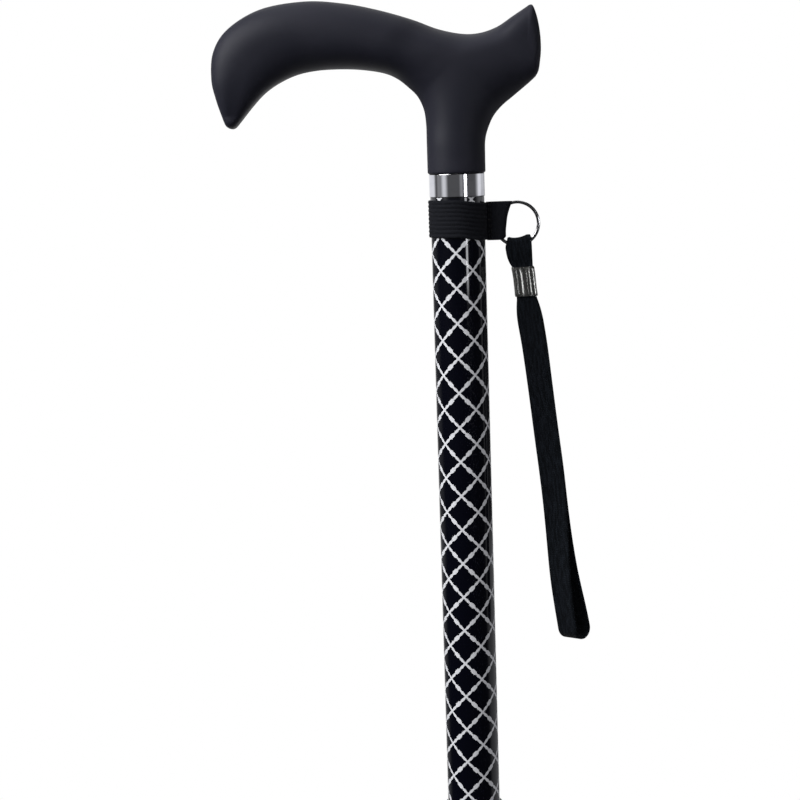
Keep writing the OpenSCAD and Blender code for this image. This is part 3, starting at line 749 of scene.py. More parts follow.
def makeTube(form, node, body, holes=()):
    low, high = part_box(node)
    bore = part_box("leg_tube")[1].x + form["legClear"]
    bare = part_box("collar_ring")[0].z - form["filmGap"]  # the film ends under the collar
    outline = [(bore, low.z), (tubeRadius, low.z, form["tubeEdge"])]
    if high.z > bare:
        outline += [(tubeRadius, bare, form["filmGap"]), (high.x, bare), (high.x, high.z, form["tubeEdge"])]
    else:
        outline.append((tubeRadius, high.z, form["tubeEdge"]))
    points, faces = revolve(roundCorners(outline + [(bore, high.z)]), form["segments"])
    tube = addPiece(node + "_printed", points, faces, printed, body, "printed_tube", [node])
    if holes:
        drillHoles(form, tube, holes)


def drillHoles(form, tube, holes):  # round holes in the front of a tube
    drills = []
    for z, r in holes:
        rim = circle(r, form["holeSides"])
        rings = [[(x, y, z + up) for x, up in rim] for y in (-form["drillReach"], 0.0)]
        drills.append(capped(*loft(rings), len(rim)))
    cutter = addPiece("drill", *joined(*drills), printed, None, "printed_tube")
    cut = tube.modifiers.new("holes", "BOOLEAN")
    cut.object, cut.solver = cutter, "EXACT"
    drilled = bpy.data.meshes.new_from_object(tube.evaluated_get(bpy.context.evaluated_depsgraph_get()))
    tube.modifiers.clear()
    tube.data = drilled
    drilled.set_sharp_from_angle(angle=math.radians(creaseAngle))
    bpy.data.objects.remove(cutter)


heightHoles = {"button": 0.149, "pitch": 0.020, "steps": (-2, -1, 0, 1, 2), "radius": 0.0029}

makeCollar(shaft)
makeTube(shaft, "upper_tube", "upper_section")
makeTube(shaft, "middle_tube", "middle_section")
holeHeights = [heightHoles["button"] + i * heightHoles["pitch"] for i in heightHoles["steps"]]
makeTube(shaft, "lower_tube", "lower_section", [(z, heightHoles["radius"]) for z in holeHeights])
print("shaft turned and drilled")


# fold joints: sockets, bullet plugs and the cord between them

foldJoint = {
    "flangeHeight": 0.008,
    "bevel": 0.001,
    "noseRadius": 0.0096,
    "noseClear": 0.00025,
    "noseLength": 0.0155,
    "cavity": 0.0158,
    "pivot": 0.0137,
    "spigot": 0.00985,
    "spigotLength": 0.020,
    "cordHole": 0.0024,
    "grooves": (0.0028, 0.0046),  # shallow rings round each flange, from the fold
    "grooveWidth": 0.0007,
    "grooveDepth": 0.0003,
    "edge": 0.00035,
    "segments": 96,
    "noseSteps": 14,
    "cordRadius": 0.002,
    "cordSides": 20,
    "cordRings": 64,
    "cordTuck": 0.002,  # length of the bridge while the shaft is straight
    "cordBend": 0.0022,  # radius of the bend into the nose
    "cordBendRings": 6,
    "cordDive": 0.003,
}


def bulletSide(form, radius, length):  # stays clear of the socket as the plug tips about the pivot line
    steps = form["noseSteps"]
    rise = [length * i / steps for i in range(steps + 1)]
    return [(math.sqrt((form["pivot"] + radius) ** 2 - d * d) - form["pivot"], d) for d in rise]


def flangeSide(form, radius):  # from the fold outwards
    side = [(radius, 0, form["edge"])]
    for g in form["grooves"]:
        deep, half = radius - form["grooveDepth"], form["grooveWidth"] / 2
        side += [(radius, g - half), (deep, g - half / 2), (deep, g + half / 2), (radius, g + half)]
    top = form["flangeHeight"]
    return side + [(radius, top - form["bevel"], form["edge"]), (radius - form["bevel"], top, form["edge"])]


def makeSocket(form, node, body):
    low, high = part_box(node)
    radius = high.x
    end = form["flangeHeight"] + form["spigotLength"]
    mouth = bulletSide(form, form["noseRadius"] + form["noseClear"], form["cavity"])
    outline = [(form["cordHole"], end), (form["cordHole"], form["cavity"])] + mouth[::-1]
    outline += flangeSide(form, radius) + [(form["spigot"], form["flangeHeight"]), (form["spigot"], end)]
    points, faces = revolve([(r, low.z + z) for r, z in roundCorners(outline, steps=4)], form["segments"])
    addPiece(node + "_moulded", points, faces, jointPlastic, body, "joint_plastic", [node])


def makePlug(form, node, body):
    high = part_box(node)[1]
    fold = high.z - form["noseLength"]
    end = form["flangeHeight"] + form["spigotLength"]
    nose = bulletSide(form, form["noseRadius"], form["noseLength"])
    nose[-1] = (*nose[-1], form["bevel"])
    outline = [(form["cordHole"], -end), (form["spigot"], -end), (form["spigot"], -form["flangeHeight"])]
    outline += [(r, -z, *fillet) for r, z, *fillet in flangeSide(form, high.x)[::-1]]
    outline += nose + [(form["cordHole"], form["noseLength"])]
    points, faces = revolve([(r, fold + z) for r, z in roundCorners(outline, steps=4)], form["segments"])
    addPiece(node + "_moulded", points, faces, jointPlastic, body, "joint_plastic", [node])


def makeCordBridge(form, name, joint):
    # made as it lies tucked in the joint while the shaft is straight; on the real cane it spreads into an arc
    # about the pivot as the joint folds
    data = next(j for j in frame["joints"] if j["name"] == joint)
    pivot, axis = Vector(data["pos_m"]), Vector(data["axis"])
    middle = Vector((0, 0, pivot.z + form["noseLength"] + form["cordTuck"] / 2))
    way = axis.cross(middle - pivot).normalized()  # the way the plug's tip sets off
    out = (middle - pivot).normalized()
    reach = way * (form["cordTuck"] / 2)
    stops = [(middle + reach * (2 * k / form["cordRings"] - 1), out) for k in range(form["cordRings"] + 1)]
    dive = math.acos(-way.z)
    for k in range(1, form["cordBendRings"] + 1):  # the far end bends down into the plug's nose
        turn = dive * k / form["cordBendRings"]
        shift = (way * math.sin(turn) - out * (1 - math.cos(turn))) * form["cordBend"]
        stops.append((middle + reach + shift, out * math.cos(turn) + way * math.sin(turn)))
    stops.append((stops[-1][0] - Vector((0, 0, form["cordDive"])), stops[-1][1]))
    section = circle(form["cordRadius"], form["cordSides"])
    rings = [[centre + axis * u + side * v for u, v in section] for centre, side in stops]
    points, faces = capped(*loft(rings), form["cordSides"])
    bridge = addPiece(name, points, faces, shockCord, None, "shock_cord")
    bodies, ends = (data["parent"], data["child"]), (middle - reach, middle + reach)
    if axis.x < 0:  # a half turn is taken about +X, so this fold is given from its far end
        bodies, ends = bodies[::-1], ends[::-1]
    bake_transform(bridge)


makeSocket(foldJoint, "upper_socket", "upper_section")
makePlug(foldJoint, "middle_plug", "middle_section")
makeSocket(foldJoint, "middle_socket", "middle_section")
makePlug(foldJoint, "lower_plug", "lower_section")
makeCordBridge(foldJoint, "cord_bridge_upper", "fold_upper")
makeCordBridge(foldJoint, "cord_bridge_lower", "fold_lower")
print("fold joints moulded")


# height lock, leg and tip

lockNut = {
    "leg": 0.0098,
    "collet": 0.0127,
    "boxShort": 0.00002,  # the CAD's box is this much short of the nut's radius
    "grooves": 24,
    "grooveRadius": 0.0008,
    "grooveFrom": 0.0002,  # what is farther out than this from the collet is grooved
    "edge": 0.0006,
    "rowInset": 0.004,
    "seat": (0.0826, 0.0877),  # cone over the collet's fingers
    "coneRadii": (0.01131, 0.01145),
    "segments": 360,
}


def makeLockNut(form):
    low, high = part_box("lock_nut")
    radius, edge, inset = high.y + form["boxShort"], form["edge"], form["rowInset"]
    axis = radius + form["grooveRadius"] / 2
    outline = [(form["leg"], low.z), (radius, low.z, edge), (radius, low.z + inset), (radius, high.z - inset),
               (radius, high.z, edge), (form["collet"], high.z), (form["collet"], form["seat"][1])]
    outline += list(zip(form["coneRadii"], form["seat"]))[::-1] + [(form["leg"], form["seat"][0])]

    def grooved(r, z, turn):
        pitch = 2 * math.pi / form["grooves"]
        off = axis * math.sin(abs(turn % pitch - pitch / 2))
        if off < form["grooveRadius"]:
            reach = axis - math.sqrt(form["grooveRadius"] ** 2 - off * off)
            r = min(r, reach) if r > form["collet"] + form["grooveFrom"] else r
        return r, z

    points, faces = revolve(roundCorners(outline), form["segments"], grooved)
    addPiece("lock_nut_grooved", points, faces, lockPlastic, "lock_nut", "lock_plastic", ["lock_nut"],
             crease=30)


snapClip = {
    "wall": 0.0083,  # inside of the leg
    "leaf": 0.0006,
    "leafClear": 0.0001,
    "width": 0.006,
    "button": heightHoles["button"],
    "rise": 0.006,
    "drop": 0.034,
    "foot": (0.0024, 0.002),  # where the leaves run into the bend, from its lowest point
    "steps": 10,
    "buttonRadius": 0.0025,
    "buttonSides": 40,
    "dome": 0.0009,
    "domeSteps": 6,
    "domeFlat": 0.3,  # share of the radius
}


def makeSnapClip(form):
    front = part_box("snap_clip")[0].y
    top, half = form["button"] + form["rise"], form["width"] / 2
    side = math.sqrt(form["wall"] ** 2 - half ** 2) - form["leafClear"] - form["leaf"] / 2
    shoulder, foot = form["button"] - form["rise"], form["button"] - form["drop"] + form["leaf"] / 2
    footSide, footTop = form["foot"][0], foot + form["foot"][1]
    arm = [(side, top), (side, shoulder), (footSide, footTop)]
    route = smoothRows(arm + [(0, foot)] + [(-y, z) for y, z in arm[::-1]], form["steps"])
    rings = []
    for (y, z), way, run in walked(route):
        way *= form["leaf"] / 2
        corners = ((-half, -1), (half, -1), (half, 1), (-half, 1))
        rings.append([(x, y - way.y * s, z + way.x * s) for x, s in corners])
    leaf = capped(*loft(rings), 4)
    r, dome = form["buttonRadius"], form["dome"]
    profile = [(r, -side), (r, front + dome)]
    for k in range(1, form["domeSteps"] + 1):
        turn = math.pi / 2 * k / form["domeSteps"]
        profile.append((r - dome * (1 - math.cos(turn)), front + dome * (1 - math.sin(turn))))
    profile.append((r * form["domeFlat"], front))
    discs = [[(x, y, form["button"] + up) for x, up in circle(a, form["buttonSides"])] for a, y in profile]
    button = capped(*loft(discs), form["buttonSides"])
    clip = addPiece("snap_clip_spring", *joined(leaf, button), steel, None, "steel", ["snap_clip"])
    -side / 2
    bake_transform(clip)


rubberTip = {
    "centre": 0.0002,  # radius at which the outline stops short of the axis
    "bore": 0.00955,
    "sleeve": 0.01175,
    "foot": 0.0155,
    "bead": 0.0008,
    "beadCut": 0.3,  # share of the bead left at the foot's lower edge
    "sole": 0.008,
    "treads": [(0.34, 0.44), (0.62, 0.72)],  # shares of the foot's radius
    "treadDepth": 0.0012,
    "treadEdge": 0.0003,
    # height as a share of the tip's, and how much of the flare is left there
    "flare": [(0.11, 1), (0.2, 0.93), (0.3, 0.72), (0.42, 0.46), (0.56, 0.24), (0.7, 0.1), (0.82, 0.02)],
    "flareSteps": 8,
    "rings": (0.17, 0.23, 0.29),  # shallow lines round the foot, shares of the height
    "ringHalf": 0.0009,
    "ringDepth": 0.00035,
    "segments": 120,
}


def makeRubberTip(form):
    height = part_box("rubber_tip")[1].z
    foot, sleeve, bead = form["foot"], form["sleeve"], form["bead"]
    flare = [(sleeve + (foot - sleeve) * left, share * height) for share, left in form["flare"]]
    side = smoothRows(flare, form["flareSteps"])
    for i, (r, z) in enumerate(side):
        line = max(step(1 - abs(z - ring * height) / form["ringHalf"]) for ring in form["rings"])
        side[i] = (r - form["ringDepth"] * line, z)
    outline = [(form["centre"], 0.0)]
    deep, edge, cut = form["treadDepth"], form["treadEdge"], bead * form["beadCut"]
    for inner, outer in form["treads"]:
        near, far = foot * inner, foot * outer
        outline += [(near, 0, edge), (near, deep), (far, deep), (far, 0, edge)]
    outline += [(foot - bead, 0), (foot - cut, cut), (foot, bead)] + side
    outline += [(sleeve, height - 3 * bead), (sleeve + bead, height - 2 * bead, bead / 2),
                (sleeve + bead, height - bead / 2, bead), (sleeve, height, bead / 2),
                (form["bore"], height), (form["bore"], form["sole"]), (form["centre"], form["sole"])]
    points, faces = revolve(roundCorners(outline), form["segments"])
    addPiece("rubber_tip_moulded", points, faces, rubber, "leg", "tip_rubber", ["rubber_tip"], crease=50)


makeLockNut(lockNut)
makeSnapClip(snapClip)
makeRubberTip(rubberTip)
print("lock, clip and tip made")


# keeper band with its sewn tab

keeper = {
    "clear": 0.0001,
    "ribs": 9,
    "ribDepth": 0.00026,
    "ribSteps": 8,
    "threads": 96,  # knit bumps round each rib
    "threadDepth": 0.00005,
    "plainInside": 0.0003,  # what is nearer than this to the bore isn't knitted
    "droop": 0.0016,  # the band sags a little where the tab pulls on it
    "droopFrom": -0.002,
    "segments": 384,
    "tabPly": 0.0009,
    "tabGap": 0.0012,  # half the room for the ring between the plies
    "sewn": 0.0005,  # half the gap between the plies where they are sewn
    "sewnTo": 0.0022,
    "tabReach": 0.0109,
    "tabSink": 0.0002,  # how far the plies start inside the band
    "tabSteps": 12,
    # the tab's outer edge from below: share of the reach, and of the height
    "tabEdge": [
        (0.615, -0.03), (0.680, 0.02), (0.720, 0.06), (0.722, 0.20),
        (0.753, 0.39), (0.797, 0.6), (0.887, 0.81), (1, 1)],
    "tabEdgeSteps": 6,
    "cutEdge": 0.00025,  # how far the cut edges are drawn in
    "stitches": 7,
    "stitchRows": (0.0009, 0.0017),  # from the band
    "stitchReach": 0.36,  # half a stitch, as a share of the pitch
    "stitchSteps": 8,
    "stitchSides": 6,
    "stitchSink": 2.2,  # how deep its ends go in, in radii of the thread
    "stitchEnd": 0.05,  # what is left of the thread's section there
    "threadRadius": 0.00014,
}


def makeBand(form):
    low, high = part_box("keeper_band")
    outer, inner = high.y, tubeRadius + form["clear"]
    ribHeight = (high.z - low.z) / form["ribs"]
    outline = [(inner, high.z), (inner, low.z)]
    for i in range(form["ribs"]):
        for k in range(form["ribSteps"]):
            share = (k + 0.5) / form["ribSteps"]
            sunk = form["ribDepth"] * (1 - math.sin(math.pi * share))
            outline.append((outer - sunk, low.z + ribHeight * (i + share)))

    def knitted(r, z, turn):
        if r > inner + form["plainInside"]:
            rib = int((z - low.z) / ribHeight)
            r += form["threadDepth"] * math.sin(form["threads"] * turn + rib * math.pi)
        return r, z - form["droop"] * ramp(r * math.cos(turn), form["droopFrom"], outer)

    points, faces = revolve([Vector(p) for p in outline], form["segments"], knitted)
    weave = [(z, math.atan2(y, x) * outer) for x, y, z in points]
    addPiece("keeper_band_knit", points, faces, elastic, "keeper", "elastic", ["keeper_band"],
             crease=70, weave=weave)


def plyGap(form, away):  # half the gap between the plies, away from where they start
    return form["sewn"] + (form["tabGap"] - form["sewn"]) * step(away / form["sewnTo"])


def tabSection(form, start, reach):  # the folded strip seen from above, outer and inner face
    outer, inner = [], []
    ply, gap, steps = form["tabPly"], form["tabGap"], form["tabSteps"]
    fold = reach - gap - ply  # centre of the fold
    for k in range(steps + 1):
        x = start + (fold - start) * k / steps
        half = plyGap(form, x - start)
        outer.append((x, -half - ply))
        inner.append((x, -half))
    for k in range(1, steps):
        turn = -math.pi / 2 + math.pi * k / steps
        outer.append((fold + (gap + ply) * math.cos(turn), (gap + ply) * math.sin(turn)))
        inner.append((fold + gap * math.cos(turn), gap * math.sin(turn)))
    outer += [(x, -y) for x, y in outer[steps::-1]]
    inner += [(x, -y) for x, y in inner[steps::-1]]
    return outer, inner


def makeTab(form):
    low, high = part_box("keeper_tab")
    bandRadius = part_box("keeper_band")[1].y
    start = bandRadius - form["tabSink"]
    edge = smoothRows([(bandRadius + form["tabReach"] * share, low.z + (high.z - low.z) * rise)
                       for share, rise in form["tabEdge"]], form["tabEdgeSteps"])
    rings, weave = [], []
    for reach, z in edge:
        outer, inner = tabSection(form, start, reach)
        soften = form["cutEdge"] if z in (edge[0][1], edge[-1][1]) else 0.0
        ring = [(x, y - math.copysign(soften, y), z) for x, y in outer] + [(x, y, z) for x, y in inner[::-1]]
        rings.append(ring)
        weave += [(z, x) for x, y, z in ring]
    points, faces = loft(rings)
    count, half = len(rings[0]), len(rings[0]) // 2
    for base in (0, len(points) - count):  # the cut ends of the plies
        for i in range(half - 1):
            far = base + count - 1 - i
            faces.append((base + i, base + i + 1, far - 1, far))
    addPiece("keeper_tab_folded", points, faces, elastic, "keeper", "elastic", ["keeper_tab"],
             crease=50, weave=weave)
    makeStitches(form, start, low.z, high.z)


def stitchAt(form, x, face, side, middle, reach):  # one stitch on a face of the tab
    rings, radius = [], form["threadRadius"]
    for k in range(form["stitchSteps"] + 1):
        t = 2 * k / form["stitchSteps"] - 1
        y = side * (face + radius * (1 - form["stitchSink"] * t ** 4))
        section = circle(radius * math.sqrt(max(form["stitchEnd"], 1 - t ** 6)), form["stitchSides"])
        rings.append([(x + u, y + v, middle + reach * t) for u, v in section])
    return capped(*loft(rings), form["stitchSides"])


def makeStitches(form, start, low, high):
    stitches = []
    pitch = (high - low) / form["stitches"]
    for row in form["stitchRows"]:
        face = plyGap(form, row) + form["tabPly"]
        for side in (-1, 1):
            for i in range(form["stitches"]):
                middle, reach = low + pitch * (i + 0.5), pitch * form["stitchReach"]
                stitches.append(stitchAt(form, start + row, face, side, middle, reach))
    addPiece("tab_stitching", *joined(*stitches), thread, "keeper", "elastic")


makeBand(keeper)
makeTab(keeper)
print("keeper knitted and sewn")


# split ring

splitRing = {
    "wire": 0.0014,  # radial width
    "thick": 0.00084,  # of one turn
    "lift": 0.00046,  # of each turn from the middle
    "wound": 720.0,  # degrees, two turns
    "gap": 16.0,  # degrees from the cross-over to each cut end
    "cross": 24.0,  # degrees over which the wire changes turn
    "start": 185.0,  # where the cross-over is, degrees
    "endWidth": 0.55,  # share of the wire's width left at the cut ends, which are ground thinner
    "endSlope": 14.0,  # degrees in which the width would grow by all of it
    "squareness": 0.8,  # 1 is an elliptic section, less is squarer
    "rings": 240,
    "sides": 16,
}


def makeRing(form):
    low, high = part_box("split_ring")
    centre, radius = (low + high) / 2, (high.x - low.x) / 2 - form["wire"] / 2
    wound, gap = form["wound"], form["gap"]
    section = []
    for spot in circle(1, form["sides"]):
        section.append([math.copysign(abs(c) ** form["squareness"], c) for c in spot])
    rings = []
    for k in range(form["rings"] + 1):
        turn = gap + (wound - 2 * gap) * k / form["rings"]
        lift = form["lift"] * (2 * step((turn - wound / 2) / form["cross"] + 0.5) - 1)
        taper = min(1, form["endWidth"] + min(turn - gap, wound - gap - turn) / form["endSlope"])
        a = math.radians(turn + form["start"])
        ring = []
        for u, v in section:
            out = radius + u * form["wire"] / 2 * taper
            y = lift + v * form["thick"] / 2
            ring.append((centre.x + out * math.cos(a), y, centre.z + out * math.sin(a)))
        rings.append(ring)
    points, faces = capped(*loft(rings), form["sides"])
    addPiece("split_ring_wire", points, faces, ringChrome, "ring", "chrome", ["split_ring"], crease=50)


makeRing(splitRing)
print("ring wound")


# wrist strap and its crimp, drawn hanging down from the ring's centre, then leaned

strap = {
    "lean": 6.7,  # degrees
    # how far the middle of the webbing wanders aside, at distances down from the ring's centre
    "sway": [
        (0.0, -0.0007), (0.011, -0.0006), (0.022, -0.0001), (0.031, -0.0003), (0.055, 0.0003), (0.100, 0.0),
        (0.150, -0.0009), (0.184, 0.0003)],
    "width": 0.0106,
    "splay": 0.0003,  # each run goes this far aside below the crimp
    "splayTo": 0.4,  # share of the loop over which that fades
    "eyeWidth": 0.0112,
    "eyeDraw": (5, 1.5),  # how sharply its left and right edges draw in above the crimp
    "eyeNeck": (0.0082, 0.0087),  # twice what is left of its left and right half there
    "thick": 0.0013,
    "eyePly": 0.0010,
    "eyeCorner": 0.0007,  # how far its upper corners are rounded off
    "cornerFrom": 0.7,  # share of the half width where that begins
    "eyeTuck": (0.0014, 0.0048),  # how far its upper left corner is drawn in for the tab, and from how low
    "eyeRoom": 0.0012,  # half the room for the ring's wire
    "eyeOpens": 1.5,  # how soon its plies part above the crimp
    "eyeEnd": 0.004,  # length inside the crimp
    "eyeSteps": 20,
    "foldSteps": 16,
    "eyeTop": 0.0058,
    "eyeArch": 0.0118,  # radius of the eye's top edge, which follows the ring
    "crimpTop": 0.0184,
    "crimpBottom": 0.0310,
    "neckWidth": 0.0082,
    "neckHalf": 0.0008,  # half the depth of the plies in the crimp
    "loopEnd": 0.006,  # length inside the crimp
    "drop": 0.1828,
    "bend": 0.0043,  # radius of the lower bend
    "bendSteps": 24,
    "opens": (0.55, 0.98),  # shares of the loop over which the two runs part
    "twist": 48.0,  # degrees, at the lower bend
    "twists": (0.19, 1.04),  # shares of the loop over which it turns so far
    "widens": 0.012,  # length below the crimp over which it comes to its full width
    "segments": 90,
    "pleats": 3,
    "pleatDepth": 0.00022,
}
ribbon = {"selvedge": 1.1, "flatSteps": 10, "edgeSteps": 6}  # selvedge in half thicknesses
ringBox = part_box("split_ring")
ringCentre = (ringBox[0] + ringBox[1]) / 2


def swayAt(form, down):
    stops = form["sway"]
    for (high, first), (low, second) in zip(stops, stops[1:]):
        if down < low:
            return first + (second - first) * ramp(down, high, low)
    return stops[-1][1]


def hang(form, x, y, down):  # from the strap's own straight frame to the part's
    lean = math.radians(form["lean"])
    x += swayAt(form, down)
    return (ringCentre.x + x * math.cos(lean) + down * math.sin(lean), y,
            ringCentre.z + x * math.sin(lean) - down * math.cos(lean))


def ribbonRing(halfWidth, halfThick):  # cross section of the webbing, with soft selvedges
    edge, steps = ribbon["selvedge"] * halfThick, ribbon["flatSteps"]
    flat = halfWidth - edge
    ring = [(flat * (1 - 2 * k / steps), halfThick) for k in range(steps + 1)]
    for k in range(1, ribbon["edgeSteps"]):
        turn = math.pi / 2 + math.pi * k / ribbon["edgeSteps"]
        ring.append((edge * math.cos(turn) - flat, halfThick * math.sin(turn)))
    return ring + [(-u, -v) for u, v in ring]


def makeLoop(form):
    # one run down in front, round the lower bend and up behind; the loop twists as it hangs
    top, length = form["crimpBottom"], form["drop"] - form["crimpBottom"]
    bend, bendCentre = form["bend"], form["drop"] - form["bend"] - form["thick"] / 2
    start, count = top - form["loopEnd"], form["segments"]

    def halfGap(down):
        return form["neckHalf"] + (bend - form["neckHalf"]) * ramp((down - top) / length, *form["opens"])

    downs = [start + (bendCentre - start) * k / count for k in range(count)]
    route = [(-halfGap(d), d) for d in downs]  # depth and distance down
    for k in range(form["bendSteps"] + 1):
        turn = math.pi * k / form["bendSteps"]
        route.append((-bend * math.cos(turn), bendCentre + bend * math.sin(turn)))
    route += [(halfGap(d), d) for d in downs[::-1]]
    rings, weave = [], []
    for (y, down), way, run in walked(route):
        spread = 1 - (1 - min(1, max(0, (down - top) / form["widens"]))) ** 2
        half = (form["neckWidth"] + (form["width"] - form["neckWidth"]) * spread) / 2
        share = (down - top) / length
        aside = math.copysign(form["splay"], y) * spread * (1 - step(share / form["splayTo"]))
        twist = math.radians(form["twist"]) * ramp(share, *form["twists"])
        ring = []
        for u, v in ribbonRing(half, form["thick"] / 2):
            px, py, pd = u + aside, y + way.y * v, down - way.x * v
            spun = (px * math.cos(twist) + py * math.sin(twist), py * math.cos(twist) - px * math.sin(twist))
            ring.append(hang(form, *spun, pd))
            weave.append((u, run))
        rings.append(ring)
    return capped(*loft(rings), len(rings[0])), weave


def makeEye(form):
    # a ply up in front, over the ring's wire and down behind, drawn together into the crimp
    room, ply, low = form["eyeRoom"] + form["eyePly"] / 2, form["eyePly"], form["crimpTop"]
    foldCentre = form["eyeTop"] + ply / 2 + room
    start, count, wide = low + form["eyeEnd"], form["eyeSteps"], form["eyeWidth"] / 2
    side = [start + (foldCentre - start) * k / count for k in range(count + 1)]

    def halfGap(down):
        parted = step((low - down) / (low - foldCentre) * form["eyeOpens"])
        return form["neckHalf"] + (room - form["neckHalf"]) * parted

    route = [(-halfGap(d), d) for d in side]  # depth and distance down
    for k in range(1, form["foldSteps"]):
        turn = math.pi * k / form["foldSteps"]
        route.append((-room * math.cos(turn), foldCentre - room * math.sin(turn)))
    route += [(halfGap(d), d) for d in side[::-1]]
    rings, weave = [], []
    for (y, down), way, run in walked(route):
        drawn = 1 - min(1, max(0, (low - down) / (low - foldCentre)))
        tuck = form["eyeTuck"][0] * step(1 - (down - form["eyeTop"]) / form["eyeTuck"][1])
        ring = []
        for u, v in ribbonRing(wide, ply / 2):
            right = 0 if u < 0 else 1
            rise = 1 - drawn ** form["eyeDraw"][right]
            pleat = form["pleatDepth"] * math.cos(u / wide * math.pi * form["pleats"]) * (1 - rise)
            neck = form["eyeNeck"][right]
            u *= (neck + (form["eyeWidth"] - neck) * rise) / form["eyeWidth"]
            arch = form["eyeArch"] - math.sqrt(form["eyeArch"] ** 2 - u * u)
            arch -= form["eyeCorner"] * ramp(abs(u) / wide, form["cornerFrom"], 1)
            u += tuck * max(0, -u / wide) ** 2
            ring.append(hang(form, u, y + way.y * v + pleat, down - way.x * v - arch * rise))
            weave.append((u, run))
        rings.append(ring)
    return capped(*loft(rings), len(rings[0])), weave


def makeStrap(form):
    loop, loopWeave = makeLoop(form)
    eye, eyeWeave = makeEye(form)
    points, faces = joined(loop, eye)
    addPiece("wrist_strap_webbing", points, faces, webbing, "strap", "strap_webbing", ["wrist_strap"],
             crease=60, weave=loopWeave + eyeWeave)


crimp = {
    "width": 0.0097,
    "depth": 0.0044,
    "wall": 0.00055,
    "corner": 0.0012,
    # pressed lines across the front and behind: share of the flat side, and depth
    "flutes": [(0.24, 0.00008), (0.36, 0.00017), (0.15, 0.00005), (0.25, 0.00011)],
    "fluteSteps": 14,
    "cornerSteps": 8,
    "endRound": 0.0001,
    "fluteFade": 0.1,  # share of the height over which the lines run out at each end
    "waist": 0.015,
    "skew": 0.09,  # its ends are cut a little out of square
    "levels": 18,
}


def crimpRing(form, halfWidth, halfDepth, pressed):  # a rounded box with flutes in its two broad sides
    corner, steps, ring = form["corner"], form["fluteSteps"], []
    flat = halfWidth - corner
    for quarter, (sx, sy) in enumerate(((1, -1), (1, 1), (-1, 1), (-1, -1))):
        for k in range(form["cornerSteps"] + 1):
            turn = math.pi / 2 * (quarter - 1 + k / form["cornerSteps"])
            u, v = corner * math.cos(turn), corner * math.sin(turn)
            ring.append((sx * flat + u, sy * (halfDepth - corner) + v))
        start = 0.0
        for share, depth in form["flutes"] if quarter % 2 else ():
            for k in range(1, steps + 1):
                sunk = depth * pressed * (0.5 - 0.5 * math.cos(2 * math.pi * k / steps))
                ring.append((sx * flat * (1 - 2 * start - 2 * share * k / steps), sy * (halfDepth - sunk)))
            start += share
        if quarter % 2:
            ring.pop()  # the next corner starts here
    return ring


def makeCrimp(form, hung):
    top, bottom = hung["crimpTop"], hung["crimpBottom"]

    def section(inset, share, pressed):
        narrow = 1 - form["waist"] * math.sin(math.pi * share)
        halfWidth, halfDepth = [form[key] / 2 * narrow - inset for key in ("width", "depth")]
        ring = crimpRing(form, halfWidth, halfDepth, pressed)
        return [hang(hung, u, v, top + (bottom - top) * share + form["skew"] * u) for u, v in ring]

    rings = []
    for k in range(form["levels"] + 1):
        share = k / form["levels"]
        inset = form["endRound"] if k in (0, form["levels"]) else 0.0
        rings.append(section(inset, share, step(min(share, 1 - share) / form["fluteFade"])))
    for share in (1.0, 0.5, 0.0):  # back up inside
        rings.append(section(form["wall"], share, 0.0))
    points, faces = loft(rings, closed=True)
    addPiece("strap_crimp_fluted", points, faces, crimpNickel, "strap", "chrome", ["strap_crimp"], crease=50)


makeStrap(strap)
makeCrimp(crimp, strap)
print("strap hung")


# finishes of the nodes that stay as they are

keptNodes = {
    "handle_core": corePlastic, "handle_pin": steel, "anchor_washer": steel, "cord_upper": shockCord,
    "cord_middle": shockCord, "cord_lower": shockCord, "stop_washer": steel, "lock_collet": jointPlastic,
    "leg_tube": legMetal, "tip_washer": steel,
}
for name, material in keptNodes.items():
    nodes[name].data.materials.clear()
    nodes[name].data.materials.append(material)
print("kept nodes finished")


# studio: floor, dark room in front, lamps and world

studio = {
    "floorRings": (0.3, 1.5, 9.0),
    "floorSides": 64,
    "floorDrop": 0.0003,  # below the tip
    "floorFade": (0.35, 1.1),  # metres from the tip over which the floor goes to plain white
    "paper": 0.88,
    "shadowShare": 0.45,
    "roomRadius": 2.4,
    "roomHeight": 4.5,
    "roomSides": 48,
    "cloth": (0.12, 0.002),  # the dark cloth on the floor in front: inner radius and height
    "roomTurn": 155.0,  # degrees each side of the front
    "roomShade": 0.015,
    "roomTint": (0.94, 0.95),  # red and green, beside blue
    # what polished things reflect: degrees from the front (left is negative), half width, blur, glow, heights
    "panels": [
        (0, 180, 5, 0.085, 0.64, 0.95),
        (-140, 34, 9, 0.11, 0.0, 0.95), (-140, 34, 9, 0.74, 0.64, 0.95),
        (-82, 9, 6, 0.18, 0.64, 0.95), (-57, 11, 9, 0.70, 0.64, 0.95),
        (16, 6, 5, 0.22, 0.64, 0.95), (33, 4.5, 1.5, 9.0, 0.525, 1.0),
        (104, 10, 5, 0.30, 0.0, 0.95), (117, 31, 11, 0.55, 0.64, 0.95), (117, 30, 10, 0.31, -0.2, 0.15),
        (-146, 28, 12, 0.16, -0.2, 0.15)],
    "panelFade": 0.08,
    "ambientAbove": (0.50, 0.50, 0.51),
    "ambientBelow": (0.52, 0.52, 0.53),
    "ambientRise": (-0.4, 0.7),  # how steep the way down and up is at which each is reached
    "bounce": 0.10,  # how much light the floor throws back
}
softbox = {
    "place": (-0.95, -0.50, 1.45),
    "aim": (-0.03, 0, 0.78),
    "size": (0.9, 0.9),
    "watts": 19.5,
}


def stageMesh(name, points, faces, material):
    mesh = bpy.data.meshes.new(name)
    mesh.from_pydata(points, [], faces)
    mesh.materials.append(material)
    piece = bpy.data.objects.new(name, mesh)
    bpy.context.scene.collection.objects.link(piece)
    return piece


